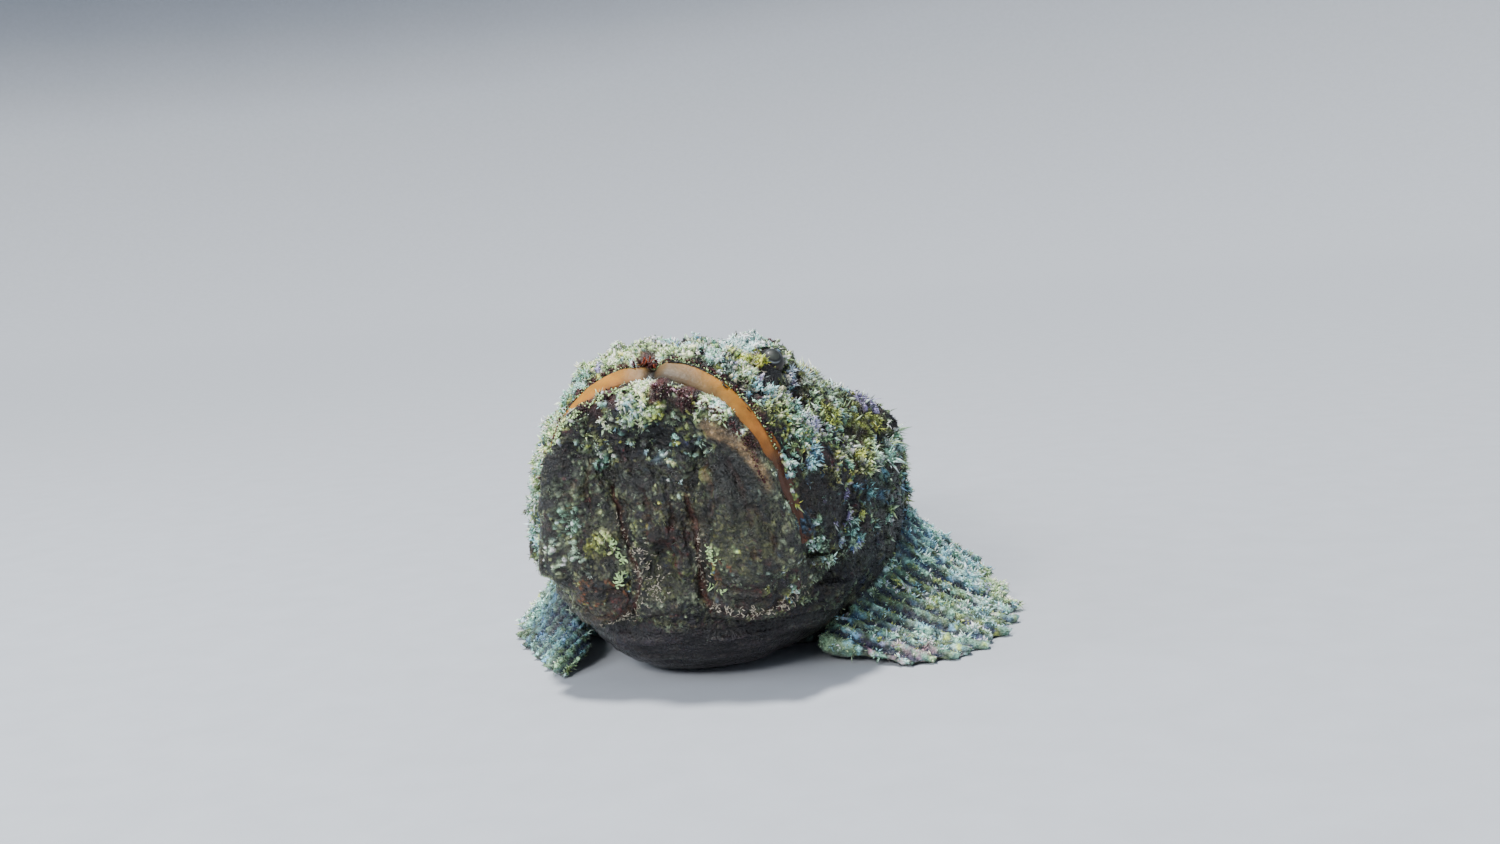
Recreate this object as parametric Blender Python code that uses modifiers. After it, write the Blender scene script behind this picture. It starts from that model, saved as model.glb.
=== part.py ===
"""A reef stonefish at life size, resting on the sea floor as a still museum model.

Metres, +Z up. The fish faces -Y, its left side is +X, and it lies on z = 0. The body is modelled
whole, as one skin swollen and dented like clay, and is then parted into its named pieces.
"""

import math

import bmesh
import bpy
import numpy as np
from mathutils import Vector
from mathutils.bvhtree import BVHTree

MM = 0.001

# Driving sizes
TOTAL_LENGTH = 290 * MM
GAP = 0.3 * MM
SNOUT_Y = -TOTAL_LENGTH / 2
TAIL_BEND = 9 * MM
TAIL_BEND_START = 110 * MM
FACE_LEAN = 0.10

# Moves the finished fish so that its overall box, fins and all, stands centred over the origin
CENTRING = Vector((-5.4, 2, 0)) * MM

# The whole body as rings of a ball drawn out along its length. Each row holds the ring's angle from
# the middle of the face in degrees, then in mm its distance behind the face, its half width, the
# height of its top and of its bottom, and last how boxy it is, 2 being an ellipse.
BODY_RINGS = (
    (0, 0, 0, 46, 46, 2.0),
    (12, 0.4, 11, 58, 36, 2.0),
    (24, 1.5, 20.5, 69.5, 26, 2.0),
    (36, 3.4, 29.5, 80.5, 16.5, 2.05),
    (46, 6.6, 35.5, 88, 9, 2.05),
    (55, 13.5, 40, 91, 3, 2.1),
    (64, 25, 44.5, 92, -1, 2.15),
    (76, 44, 51, 90.5, -2, 2.3),
    (88, 62, 55.5, 88.5, -2, 2.35),
    (100, 84, 54, 87, -2, 2.35),
    (112, 108, 46, 85, -2, 2.3),
    (124, 132, 36, 79, -1.2, 2.2),
    (136, 158, 26, 70, 2, 2.15),
    (148, 184, 18, 59.5, 8, 2.1),
    (160, 210, 11.5, 51, 13, 2.0),
    (170, 230, 7.5, 47, 15.5, 2.0),
    (176, 239, 5, 43, 20, 2.0),
    (180, 242, 0, 31, 31, 2.0),
)

# The mouth, an upright arch across the face, as seen from in front
MOUTH_HALF_WIDTH = 33 * MM
MOUTH_RISE = 40.5 * MM
MOUTH_CENTRE_Z = 46 * MM
MOUTH_END_ANGLE = math.radians(104)
MOUTH_CORNER_FLARE = 5 * MM
MOUTH_OPENING = 5.8 * MM
UPPER_JAW_SET_BACK = 3.5 * MM
MOUTH_DEPTH = 24 * MM
LINING_SET_BACK = 2.2 * MM
LINING_PARTING = 1.6 * MM

# The eyes, high on their mounds
EYE_RADIUS = 3.9 * MM
EYE_PLACE = Vector((27.6, 27.3, 87.2)) * MM
MOUND_PLACE = Vector((23.5, 31, 91)) * MM
RIGHT_EYE_DROP = 3 * MM

# The nostrils, one before each eye, as (to the side, behind the face) in mm
NOSTRIL_PLACE = (17.5, 19)
NOSTRIL_RADIUS = 2.1 * MM

# Gill covers, seen from the side
GILL_FRONT = 44 * MM
GILL_REAR = 72 * MM
GILL_LOW = 15 * MM
GILL_HIGH = 66 * MM
GILL_ROOT = 38 * MM

HEAD_END = 78 * MM
TRUNK_END = 176 * MM

# Fins
PECTORAL_RAYS = 15
PECTORAL_ROOTS = (
    (0, 35, 34, 5),
    (0.3, 44, 48, 11),
    (0.6, 49, 62, 20),
    (0.85, 50, 76, 32),
    (1, 47, 84, 42),
)
LEFT_PECTORAL_TIPS = (
    (0, 62, 27, 0.6),
    (0.18, 76, 36, 0.6),
    (0.38, 84, 54, 0.6),
    (0.6, 87, 77, 0.7),
    (0.82, 83, 99, 2.5),
    (1, 73, 115, 11),
)
RIGHT_PECTORAL_TIPS = (
    (0, 38, 15, 0.6),
    (0.18, 49, 28, 0.6),
    (0.38, 61, 45, 0.6),
    (0.6, 72, 64, 0.7),
    (0.82, 77, 84, 2),
    (1, 73, 101, 9),
)
PELVIC_RAYS = 6
DORSAL_SPINES = 13
SOFT_DORSAL_RAYS = 7
ANAL_RAYS = 8
TAIL_RAYS = 12
RAY_TIP = 1.5 * MM

WART_COUNT = 150
WART_SEED = 11
FLOOR_TRIM = 0.35 * MM

BODY_TRIANGLES = 8800
INSIDE_SHARE = 0.6

SKIN_COLOUR = (0.17, 0.17, 0.12, 1)
FACE_COLOUR = (0.13, 0.13, 0.10, 1)
FIN_COLOUR = (0.30, 0.35, 0.31, 1)
LINING_COLOUR = (0.62, 0.29, 0.07, 1)
EYE_COLOUR = (0.02, 0.02, 0.02, 1)


def clear_scene():
    for thing in list(bpy.data.objects):
        bpy.data.objects.remove(thing)


def material(name, colour, roughness):
    made = bpy.data.materials.new(name)
    made.use_nodes = True
    shader = made.node_tree.nodes["Principled BSDF"]
    shader.inputs["Base Color"].default_value = colour
    shader.inputs["Roughness"].default_value = roughness
    shader.inputs["Metallic"].default_value = 0
    return made


def smooth_table(rows, at):
    """Each column of rows, read at these values of the first column along a smooth curve."""
    rows = np.array(rows, float)
    x, y = rows[:, 0], rows[:, 1:]
    step = np.diff(x)[:, None]
    slope = np.diff(y, axis=0) / step
    bend = np.zeros_like(y)
    same_way = slope[:-1] * slope[1:] > 0
    mean = 2 * slope[:-1] * slope[1:] / np.where(same_way, slope[:-1] + slope[1:], 1)
    bend[1:-1] = np.where(same_way, mean, 0)
    bend[0], bend[-1] = slope[0], slope[-1]
    i = np.clip(np.searchsorted(x, at, side="right") - 1, 0, len(x) - 2)
    t = ((at - x[i]) / (x[i + 1] - x[i]))[:, None]
    h = (x[i + 1] - x[i])[:, None]
    start = y[i] * (1 + 2 * t) * (1 - t) ** 2 + bend[i] * h * t * (1 - t) ** 2
    end = y[i + 1] * t * t * (3 - 2 * t) + bend[i + 1] * h * t * t * (t - 1)
    return start + end


def tail_shift(behind):
    """How far the tail has swung to the fish's left, this far behind the face."""
    share = np.clip((behind - TAIL_BEND_START) / (TOTAL_LENGTH - TAIL_BEND_START), 0, 1)
    return TAIL_BEND * share**1.6


def mouth_point(angle, spread=0.0):
    """(x, z) on the mouth's arch, this angle round from its top, spread outwards by some metres."""
    flare = MOUTH_CORNER_FLARE * max(0.0, (abs(angle) - 1.2) / (MOUTH_END_ANGLE - 1.2)) ** 1.5
    x = (MOUTH_HALF_WIDTH + spread + flare) * math.sin(angle)
    z = MOUTH_CENTRE_Z + (MOUTH_RISE + spread) * math.cos(angle)
    return x, z


def mouth_line(count, spread=0.0):
    ends = np.linspace(-MOUTH_END_ANGLE, MOUTH_END_ANGLE, count)
    return [mouth_point(a, spread) for a in ends]


def gape_line(count, half, gap=0.0):
    """One edge of the open mouth, half the opening from its middle, narrowing to the corners."""
    ends = np.linspace(-MOUTH_END_ANGLE, MOUTH_END_ANGLE, count)
    narrow = 1 - 0.6 * np.abs(ends / MOUTH_END_ANGLE) ** 3
    return [mouth_point(a, half * n + gap) for a, n in zip(ends, narrow)]


# Clay: the skin as arrays, with strokes that swell or dent it


class Clay:
    """A mesh's points, which strokes move along the surface's own outward direction."""

    def __init__(self, mesh):
        self.mesh = mesh
        self.points = np.empty(len(mesh.vertices) * 3, np.float32)
        mesh.vertices.foreach_get("co", self.points)
        self.points = self.points.reshape(-1, 3).astype(float)
        self.refresh()

    def refresh(self):
        self.mesh.vertices.foreach_set("co", self.points.astype(np.float32).ravel())
        self.mesh.update()
        outward = np.empty(len(self.points) * 3, np.float32)
        self.mesh.vertex_normals.foreach_get("vector", outward)
        self.outward = outward.reshape(-1, 3).astype(float)

    def raise_by(self, height):
        self.points += self.outward * height[:, None]

    def bump(self, place, radius, height, stretch=(1, 1, 1)):
        """One swelling, or a dent where height is negative. Place is behind the face, in mm."""
        centre = placed(place)
        reach = np.array(stretch) * radius * MM
        distance = np.linalg.norm((self.points - centre) / reach, axis=1)
        self.raise_by(height * MM * np.exp(-(distance**2) * 1.6))

    def pair(self, place, radius, height, stretch=(1, 1, 1)):
        """The same stroke on both sides of the fish."""
        for side in (1, -1):
            self.bump((place[0] * side, place[1], place[2]), radius, height, stretch)

    def face_line(self, path, width, height, reach=26):
        """A ridge or groove along a path of (x, z) in mm on the face, seen from in front."""
        dense = np.array(path, float) * MM
        stops = np.linspace(0, len(dense) - 1, 12 * len(dense))
        line = np.stack([np.interp(stops, np.arange(len(dense)), dense[:, k]) for k in (0, 1)], 1)
        near = self.points[:, 1] < SNOUT_Y + reach * MM
        seen = self.points[near][:, [0, 2]]
        gap = np.min(np.linalg.norm(seen[:, None] - line[None], axis=2), axis=1)
        fade = np.clip((SNOUT_Y + reach * MM - self.points[near][:, 1]) / (6 * MM), 0, 1)
        lift = np.zeros(len(self.points))
        lift[near] = height * MM * np.exp(-((gap / (width * MM)) ** 2)) * fade
        self.raise_by(lift)

    def both_face_lines(self, path, width, height, reach=26):
        self.face_line(path, width, height, reach)
        self.face_line([(-x, z) for x, z in path], width, height, reach)


def placed(place):
    """A place given in mm as (left, behind the face, up), in the row's frame."""
    x, behind, z = (v * MM for v in place)
    return np.array((x + float(tail_shift(np.array(behind))), SNOUT_Y + behind, z))


def eye_centre(side):
    """The middle of one eye. The head rests a little lower on the fish's right."""
    drop = RIGHT_EYE_DROP if side < 0 else 0
    x, behind, z = EYE_PLACE / MM
    return placed((side * x, behind, z - drop / MM))


def body_ball():
    """The plain body: a fine ball whose rings are drawn out to the fish's sections."""
    bm = bmesh.new()
    bmesh.ops.create_icosphere(bm, subdivisions=7, radius=1)
    mesh = bpy.data.meshes.new("body")
    bm.to_mesh(mesh)
    bm.free()
    ball = np.empty(len(mesh.vertices) * 3, np.float32)
    mesh.vertices.foreach_get("co", ball)
    ball = ball.reshape(-1, 3).astype(float)
    from_face = np.degrees(np.arccos(np.clip(-ball[:, 1], -1, 1)))
    around = np.hypot(ball[:, 0], ball[:, 2]) + 1e-12
    cross, up = ball[:, 0] / around, ball[:, 2] / around
    behind, half, top, bottom, boxy = smooth_table(BODY_RINGS, from_face).T
    reach = (np.abs(cross) ** boxy + np.abs(up) ** boxy) ** (-1 / boxy)
    middle = (top + bottom) / 2
    z = (middle + (top - bottom) / 2 * up * reach) * MM
    lean = FACE_LEAN * (46 * MM - z) * np.clip(1 - behind / 60, 0, 1)
    y = behind * MM + lean
    x = half * MM * cross * reach + tail_shift(y)
    points = np.stack([x, SNOUT_Y + y, z], 1)
    mesh.vertices.foreach_set("co", points.astype(np.float32).ravel())
    mesh.update()
    return mesh


# The strokes that turn the plain body into a stonefish


def shape_crown(clay):
    """Eye mounds, the saddle between them, the pits under the eyes and the low shoulders behind.
    The fish rests so that its right brow lies a little lower."""
    clay.pair((MOUND_PLACE.x / MM, MOUND_PLACE.y / MM, MOUND_PLACE.z / MM), 11.5, 5)
    clay.pair((27, 38, 90), 8, 4.5)
    clay.bump((16, 31, 94), 6, 2.5)
    clay.bump((4, 32, 94), 11, -3.4, (1, 1.3, 1))
    clay.bump((-6, 22, 93), 10, 2.2, (1.4, 1, 1))
    clay.bump((0, 57, 91), 12, -6.5, (1.7, 0.9, 1))
    clay.refresh()
    clay.pair((37, 24, 79), 7.5, -6)
    clay.pair((50, 63, 68), 11, 2.4)
    clay.pair((50, 44, 68), 8, -3.5)
    clay.refresh()
    clay.pair((37, 70, 84), 16, -7, (1, 1.5, 1))
    clay.pair((33, 102, 80), 18, -7.5, (1, 1.5, 1))
    clay.bump((-30, 24, 85), 14, -4.5, (1, 1.2, 1))
    clay.bump((-34, 14, 78), 8, -3)
    clay.bump((0, 86, 88), 16, 1.5, (0.9, 1.3, 1))
    clay.refresh()


def shape_cheeks(clay):
    """Cheeks, bony lumps before the gill cover, and the fleshy ends of the upper jaw."""
    clay.pair((45, 20, 54), 11, 1.5, (1, 1, 1.6))
    clay.pair((50, 36, 38), 10, 2.5)
    clay.pair((53, 44, 56), 7, 2)
    clay.pair((57, 58, 34), 9, -2)
    clay.pair((41, 10, 40), 5, 3.2, (1, 1, 1.7))
    clay.refresh()
    clay.pair((38.5, 9, 30), 3.6, -5)
    clay.refresh()


def shape_upper_jaw(clay):
    """The upper jaw, outside the mouth's arch, lies back behind the lower one."""
    x, y, z = clay.points.T
    above = (z - MOUTH_CENTRE_Z) / MOUTH_RISE
    out = np.hypot(x / MOUTH_HALF_WIDTH, np.maximum(above, 0))
    share = np.clip((out - 0.98) / 0.12, 0, 1) * np.clip((z - 34 * MM) / (14 * MM), 0, 1)
    fade = np.clip(1.4 - (y - SNOUT_Y) / (30 * MM), 0, 1)
    clay.points[:, 1] += UPPER_JAW_SET_BACK * share * share * (3 - 2 * share) * fade
    clay.refresh()


def shape_lips(clay):
    """The thick rim of the upper jaw and the rolled edge of the lower one."""
    mm = 1 / MM
    upper = [(x * mm, z * mm) for x, z in mouth_line(25, spread=6 * MM)]
    lower = [(x * mm, z * mm) for x, z in mouth_line(25, spread=-6.5 * MM)]
    clay.face_line(upper, 3.4, 2.6, reach=32)
    clay.face_line(lower, 3.0, 2.2, reach=24)
    clay.refresh()


def shape_lower_jaw(clay):
    """Two swollen halves beside a sunken middle strip, ending below in fleshy lobes."""
    clay.pair((21, 2, 54), 11, 3.2, (0.8, 1, 1.6))
    clay.pair((25, 4, 33), 10.5, 4.2, (1.15, 1, 1))
    clay.bump((0, 0, 76), 7, 2.6, (1.6, 1, 0.7))
    clay.refresh()
    clay.bump((0, 0, 66), 5, -3, (1.7, 1, 0.9))
    clay.both_face_lines([(13.5, 66), (11, 56), (9.5, 46), (10, 34), (11.5, 22)], 1.9, -3.6)
    clay.face_line([(0, 60), (1, 50), (0, 44)], 2.4, 1.6)
    clay.bump((0, 2, 37), 6, -3.4, (0.8, 1, 1.2))
    clay.refresh()
    clay.both_face_lines([(11, 19), (18, 15.5), (27, 15), (36, 19), (42, 26)], 2.6, -4.4, reach=34)
    clay.both_face_lines([(12, 24), (20, 20.5), (28, 20), (36, 24)], 2.6, 2.2, reach=30)
    clay.bump((0, 8, 21), 8, 1.5)
    clay.refresh()


def shape_body(clay):
    """Gill cover edge, the shoulder behind it and the swell of the flanks."""
    clay.pair((55, 70, 60), 8, 2.5)
    clay.pair((56, 77, 42), 6, -3, (1, 0.8, 2.6))
    clay.pair((48, 96, 40), 15, 2.5)
    clay.pair((30, 136, 58), 12, 2, (1, 1.6, 1))
    clay.refresh()


def shape_warts(clay):
    """Warts of mixed size over back, crown and cheeks, fewer on the jaw and none on the belly."""
    draw = np.random.default_rng(WART_SEED)
    made = 0
    while made < WART_COUNT:
        i = int(draw.integers(len(clay.points)))
        x, y, z = clay.points[i]
        behind = (y - SNOUT_Y) / MM
        on_face = behind < 24 and abs(x) < 42 * MM
        low = z < 16 * MM
        near_eye = np.hypot(abs(x) - EYE_PLACE.x, behind * MM - EYE_PLACE.y) < 10 * MM
        if low or near_eye or (on_face and draw.random() < 0.8) or draw.random() > 0.35 + z / 0.1:
            continue
        size = draw.uniform(2.6, 4.2) if on_face else draw.uniform(3.4, 6.5)
        height = size * draw.uniform(0.22, 0.42)
        distance = np.linalg.norm(clay.points - clay.points[i], axis=1) / (size * MM)
        clay.raise_by(height * MM * np.exp(-(distance**2) * 1.6))
        made += 1
    clay.refresh()


def shape_eyelids(clay):
    """A raised ring of flesh round each eye."""
    for side in (1, -1):
        centre = eye_centre(side)
        distance = np.linalg.norm(clay.points - centre, axis=1)
        ring = np.exp(-(((distance - EYE_RADIUS - 1.6 * MM) / (1.7 * MM)) ** 2))
        dish = np.exp(-((distance / EYE_RADIUS) ** 2) * 1.5)
        clay.raise_by(1.5 * MM * ring - 2.2 * MM * dish)
    clay.refresh()


def nostril_centre(points, side):
    """The point on the snout's skin where this side's nostril opens."""
    x, y = side * NOSTRIL_PLACE[0] * MM, SNOUT_Y + NOSTRIL_PLACE[1] * MM
    away = np.hypot(points[:, 0] - x, points[:, 1] - y) + (points[:, 2] < MOUTH_CENTRE_Z)
    return points[int(np.argmin(away))].copy()


def shape_nostrils(clay):
    """A short rimmed tube on each side of the snout, between the upper lip and the eye."""
    for side in (1, -1):
        distance = np.linalg.norm(clay.points - nostril_centre(clay.points, side), axis=1)
        rim = np.exp(-(((distance - NOSTRIL_RADIUS) / (0.9 * MM)) ** 2))
        hole = np.exp(-((distance / (0.55 * NOSTRIL_RADIUS)) ** 2))
        clay.raise_by(1.3 * MM * rim - 2.6 * MM * hole)
    clay.refresh()


def face_weights(points):
    """How finely each part of the skin is kept: finest round the mouth, nostrils and eyes."""
    behind = (points[:, 1] - SNOUT_Y) / MM
    face = np.clip(1.25 - behind / 38, 0, 1)
    eyes = np.zeros(len(points))
    for side in (1, -1):
        near = np.linalg.norm(points - eye_centre(side), axis=1) / (10 * MM)
        nostril = np.linalg.norm(points - nostril_centre(points, side), axis=1) / (4.5 * MM)
        eyes = np.maximum(eyes, np.exp(-(np.minimum(near, nostril) ** 2)))
    belly = points[:, 2] < 1 * MM
    return np.where(belly, 0.0, np.clip(0.2 + 0.6 * face + 0.8 * eyes, 0, 1))


def thin_out(thing, triangles, weights):
    """Fewer faces, with the most kept where the weights are high."""
    group = thing.vertex_groups.new(name="fine")
    for level in range(11):
        chosen = np.flatnonzero(np.round(weights * 10).astype(int) == level)
        group.add(chosen.tolist(), level / 10, "REPLACE")
    collapse = thing.modifiers.new("Fewer faces", "DECIMATE")
    collapse.ratio = triangles / len(thing.data.polygons)
    collapse.vertex_group = group.name
    collapse.invert_vertex_group = True
    collapse.vertex_group_factor = 1.0
    apply_modifiers(thing)


def apply_modifiers(thing):
    """Turns the object's modifiers into its mesh."""
    graph = bpy.context.evaluated_depsgraph_get()
    done = bpy.data.meshes.new_from_object(thing.evaluated_get(graph))
    old = thing.data
    thing.modifiers.clear()
    thing.data = done
    bpy.data.meshes.remove(old)


def keep_largest(thing):
    """Drops scraps and sealed hollows: only the surface that encloses most is kept."""
    bm = bmesh.new()
    bm.from_mesh(thing.data)
    bmesh.ops.remove_doubles(bm, verts=bm.verts, dist=1e-6)
    bmesh.ops.dissolve_degenerate(bm, edges=bm.edges, dist=1e-6)
    bm.verts.ensure_lookup_table()
    seen, islands = set(), []
    for start in bm.verts:
        if start in seen:
            continue
        island, todo = [], [start]
        seen.add(start)
        while todo:
            vert = todo.pop()
            island.append(vert)
            for edge in vert.link_edges:
                other = edge.other_vert(vert)
                if other not in seen:
                    seen.add(other)
                    todo.append(other)
        islands.append(island)
    islands.sort(key=len)
    for island in islands[:-1]:
        bmesh.ops.delete(bm, geom=island, context="VERTS")
    bmesh.ops.triangulate(bm, faces=bm.faces)
    bm.to_mesh(thing.data)
    bm.free()


def combine(thing, other, operation, solver="EXACT"):
    """Cuts, joins or intersects thing with other, and keeps the main piece."""
    cut = thing.modifiers.new(operation.title(), "BOOLEAN")
    cut.operation = operation
    cut.solver = solver
    cut.object = other
    apply_modifiers(thing)
    keep_largest(thing)


def new_object(name, mesh, collection):
    made = bpy.data.objects.new(name, mesh)
    collection.objects.link(made)
    return made


def copy_of(thing, name, collection):
    return new_object(name, thing.data.copy(), collection)


def grown(thing, amount, name, collection):
    """A copy of thing with its skin moved outwards by this much, or inwards if negative."""
    made = copy_of(thing, name, collection)
    clay = Clay(made.data)
    clay.raise_by(np.full(len(clay.points), amount))
    clay.refresh()
    return made


def box_cutter(name, low, high, collection):
    """A plain block between two corners."""
    bm = bmesh.new()
    bmesh.ops.create_cube(bm, size=1)
    low, high = Vector(low), Vector(high)
    for vert in bm.verts:
        vert.co = [low[k] + (vert.co[k] + 0.5) * (high[k] - low[k]) for k in range(3)]
    mesh = bpy.data.meshes.new(name)
    bm.to_mesh(mesh)
    bm.free()
    return new_object(name, mesh, collection)


def slab_cutter(name, outline, axis, start, end, collection):
    """A flat outline drawn straight along X or Y, from start to end."""
    bm = bmesh.new()
    if axis == "Y":
        corners = [bm.verts.new((a, start, b)) for a, b in outline]
        push = Vector((0, end - start, 0))
    else:
        corners = [bm.verts.new((start, a, b)) for a, b in outline]
        push = Vector((end - start, 0, 0))
    bm.faces.new(corners)
    drawn = bmesh.ops.extrude_face_region(bm, geom=bm.faces[:])
    moved = [item for item in drawn["geom"] if isinstance(item, bmesh.types.BMVert)]
    bmesh.ops.translate(bm, verts=moved, vec=push)
    bmesh.ops.recalc_face_normals(bm, faces=bm.faces)
    bmesh.ops.triangulate(bm, faces=bm.faces)
    mesh = bpy.data.meshes.new(name)
    bm.to_mesh(mesh)
    bm.free()
    return new_object(name, mesh, collection)


def jaw_outline(half, gap=0.0, count=41):
    """The lower jaw from in front: the arch of the mouth, closed below along the two lobes."""
    arch = gape_line(count, half, gap)
    low = half * 0.2 + gap
    chin = [(38.5, 29), (34.5, 21.5), (27, 17), (18, 17), (10.5, 20.5), (0, 22.5)]
    right = [(x * MM + (low if x else 0), z * MM - low) for x, z in chin]
    left = [(-x, z) for x, z in right[:-1]][::-1]
    return arch + right + left


def gill_outline(spread):
    """A gill cover from the side: a flat front edge and a rounded rear one."""
    middle = (GILL_LOW + GILL_HIGH) / 2
    half = (GILL_HIGH - GILL_LOW) / 2 + spread
    bow = GILL_REAR - GILL_FRONT + spread
    rear = []
    for k in range(15):
        angle = -math.pi / 2 + math.pi * k / 14
        flat = math.copysign(abs(math.sin(angle)) ** 0.8, angle)
        rear.append((GILL_FRONT + bow * math.cos(angle), middle + half * flat))
    front = [(GILL_FRONT - spread, middle + half), (GILL_FRONT - spread, middle - half)]
    return [(SNOUT_Y + y, z) for y, z in rear + front]


# Fins: one sheet of rays and web, thick at its root


def fin(name, edge, rays, rows, root_thickness, web_share, notch, collection):
    """A fan of rays. edge(u, v) is a point of the fin, u across its rays and v from root to tip.
    Every second column is a ray, the others the thinner web, which ends short of the ray tips."""
    columns = 2 * rays - 1
    bm = bmesh.new()
    bmesh.ops.create_grid(bm, x_segments=columns - 1, y_segments=rows, size=0.5)
    thickness = bm.verts.layers.deform.verify()
    for vert in bm.verts:
        column = round((vert.co.x + 0.5) * (columns - 1))
        v = vert.co.y + 0.5
        web = column % 2 == 1
        reach = v * (1 - notch) if web else v
        vert.co = edge(column / (columns - 1), reach)
        from_side = min(1, 5 * min(column, columns - 1 - column) / (columns - 1))
        thick_root = root_thickness * (0.5 + 0.5 * from_side)
        full = thick_root + (RAY_TIP - thick_root) * v**0.7
        vert[thickness][0] = full * (web_share if web else 1) / root_thickness
    bmesh.ops.triangulate(bm, faces=bm.faces)
    mesh = bpy.data.meshes.new(name)
    bm.to_mesh(mesh)
    bm.free()
    made = new_object(name, mesh, collection)
    made.vertex_groups.new(name="thickness")
    shell = made.modifiers.new("Thickness", "SOLIDIFY")
    shell.thickness = root_thickness
    shell.offset = 0
    shell.vertex_group = "thickness"
    apply_modifiers(made)
    bm = bmesh.new()
    bm.from_mesh(made.data)
    bmesh.ops.recalc_face_normals(bm, faces=bm.faces)
    bmesh.ops.triangulate(bm, faces=bm.faces)
    bm.to_mesh(made.data)
    bm.free()
    return made


def along(rows, u):
    """A smooth path through rows of (share, x, y behind the face, z) in mm, read at share u."""
    x, y, z = smooth_table(rows, np.array([u]))[0]
    return Vector(placed((x, y, z)))


def pectoral_edge(side, tips):
    """The broad fan that spreads over the sand from the throat round to the flank."""

    def edge(u, v):
        root, tip = along(PECTORAL_ROOTS, u), along(tips, u)
        ragged = 1 + 0.035 * math.sin(u * 47) * v
        point = root.lerp(tip, v * ragged)
        fall = (1 - v) ** 1.45 - (1 - v)
        point.z += (root.z - tip.z) * fall * 0.8
        point.z = max(point.z + 1.2 * MM * math.sin(math.pi * v) * math.sin(u * 19), 0.45 * MM)
        point.x *= side
        return point

    return edge


def pelvic_edge(side):
    """A blunt fan under the belly, its inner edge along the body."""
    roots = ((0, 20, 44, 2.2), (1, 14, 62, 2.0))
    tips = ((0, 55, 66, 1.1), (0.35, 53, 88, 1.1), (0.7, 42, 106, 1.1), (1, 26, 112, 1.2))

    def edge(u, v):
        point = along(roots, u).lerp(along(tips, u), v)
        point.z = max(point.z, 0.6 * MM)
        point.x *= side
        return point

    return edge


def dorsal_edge(back, start, end, length, lean, ragged):
    """A fin along the back. back(behind) is the height of the back there."""

    def edge(u, v):
        behind = start + (end - start) * u
        sunk = 3.5
        sway = 1.6 * math.sin(u * 21) * v
        reach = length(u) * (1 + ragged * math.sin(u * 61))
        lay = behind + reach * v * math.sin(lean)
        rise = (back(behind) - sunk) + (back(lay) - back(behind)) * v
        return Vector(placed((sway, lay, rise + (reach * math.cos(lean) + sunk) * v)))

    return edge


def spine_length(u):
    """The spines of the back, longest at the third and fourth."""
    return 15.5 + 4 * math.sin(math.pi * min(1.0, u * 1.8)) - 5 * u


def anal_edge(under):
    def edge(u, v):
        behind = 164 + 40 * u
        drop = (under(behind) + 3) * (1 - v) + 0.8 * v
        lean = 8 * v * (1 - 0.4 * u)
        return Vector(placed((lean + 1.2 * math.sin(u * 17) * v, behind + (7 + 5 * u) * v, drop)))

    return edge


def tail_edge(u, v):
    """The rounded tail fin, opening from the tail stalk."""
    side = 2 * u - 1
    reach = 52 * (1 - 0.16 * side * side)
    root_z, tip_z = 30 + side * 10, 28.5 + side * 22
    x = 1.5 * math.sin(u * 9) * v
    z = root_z + (tip_z - root_z) * v**0.85
    return Vector(placed((x, 236 + (reach + 2) * v, z)))


# Building


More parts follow.
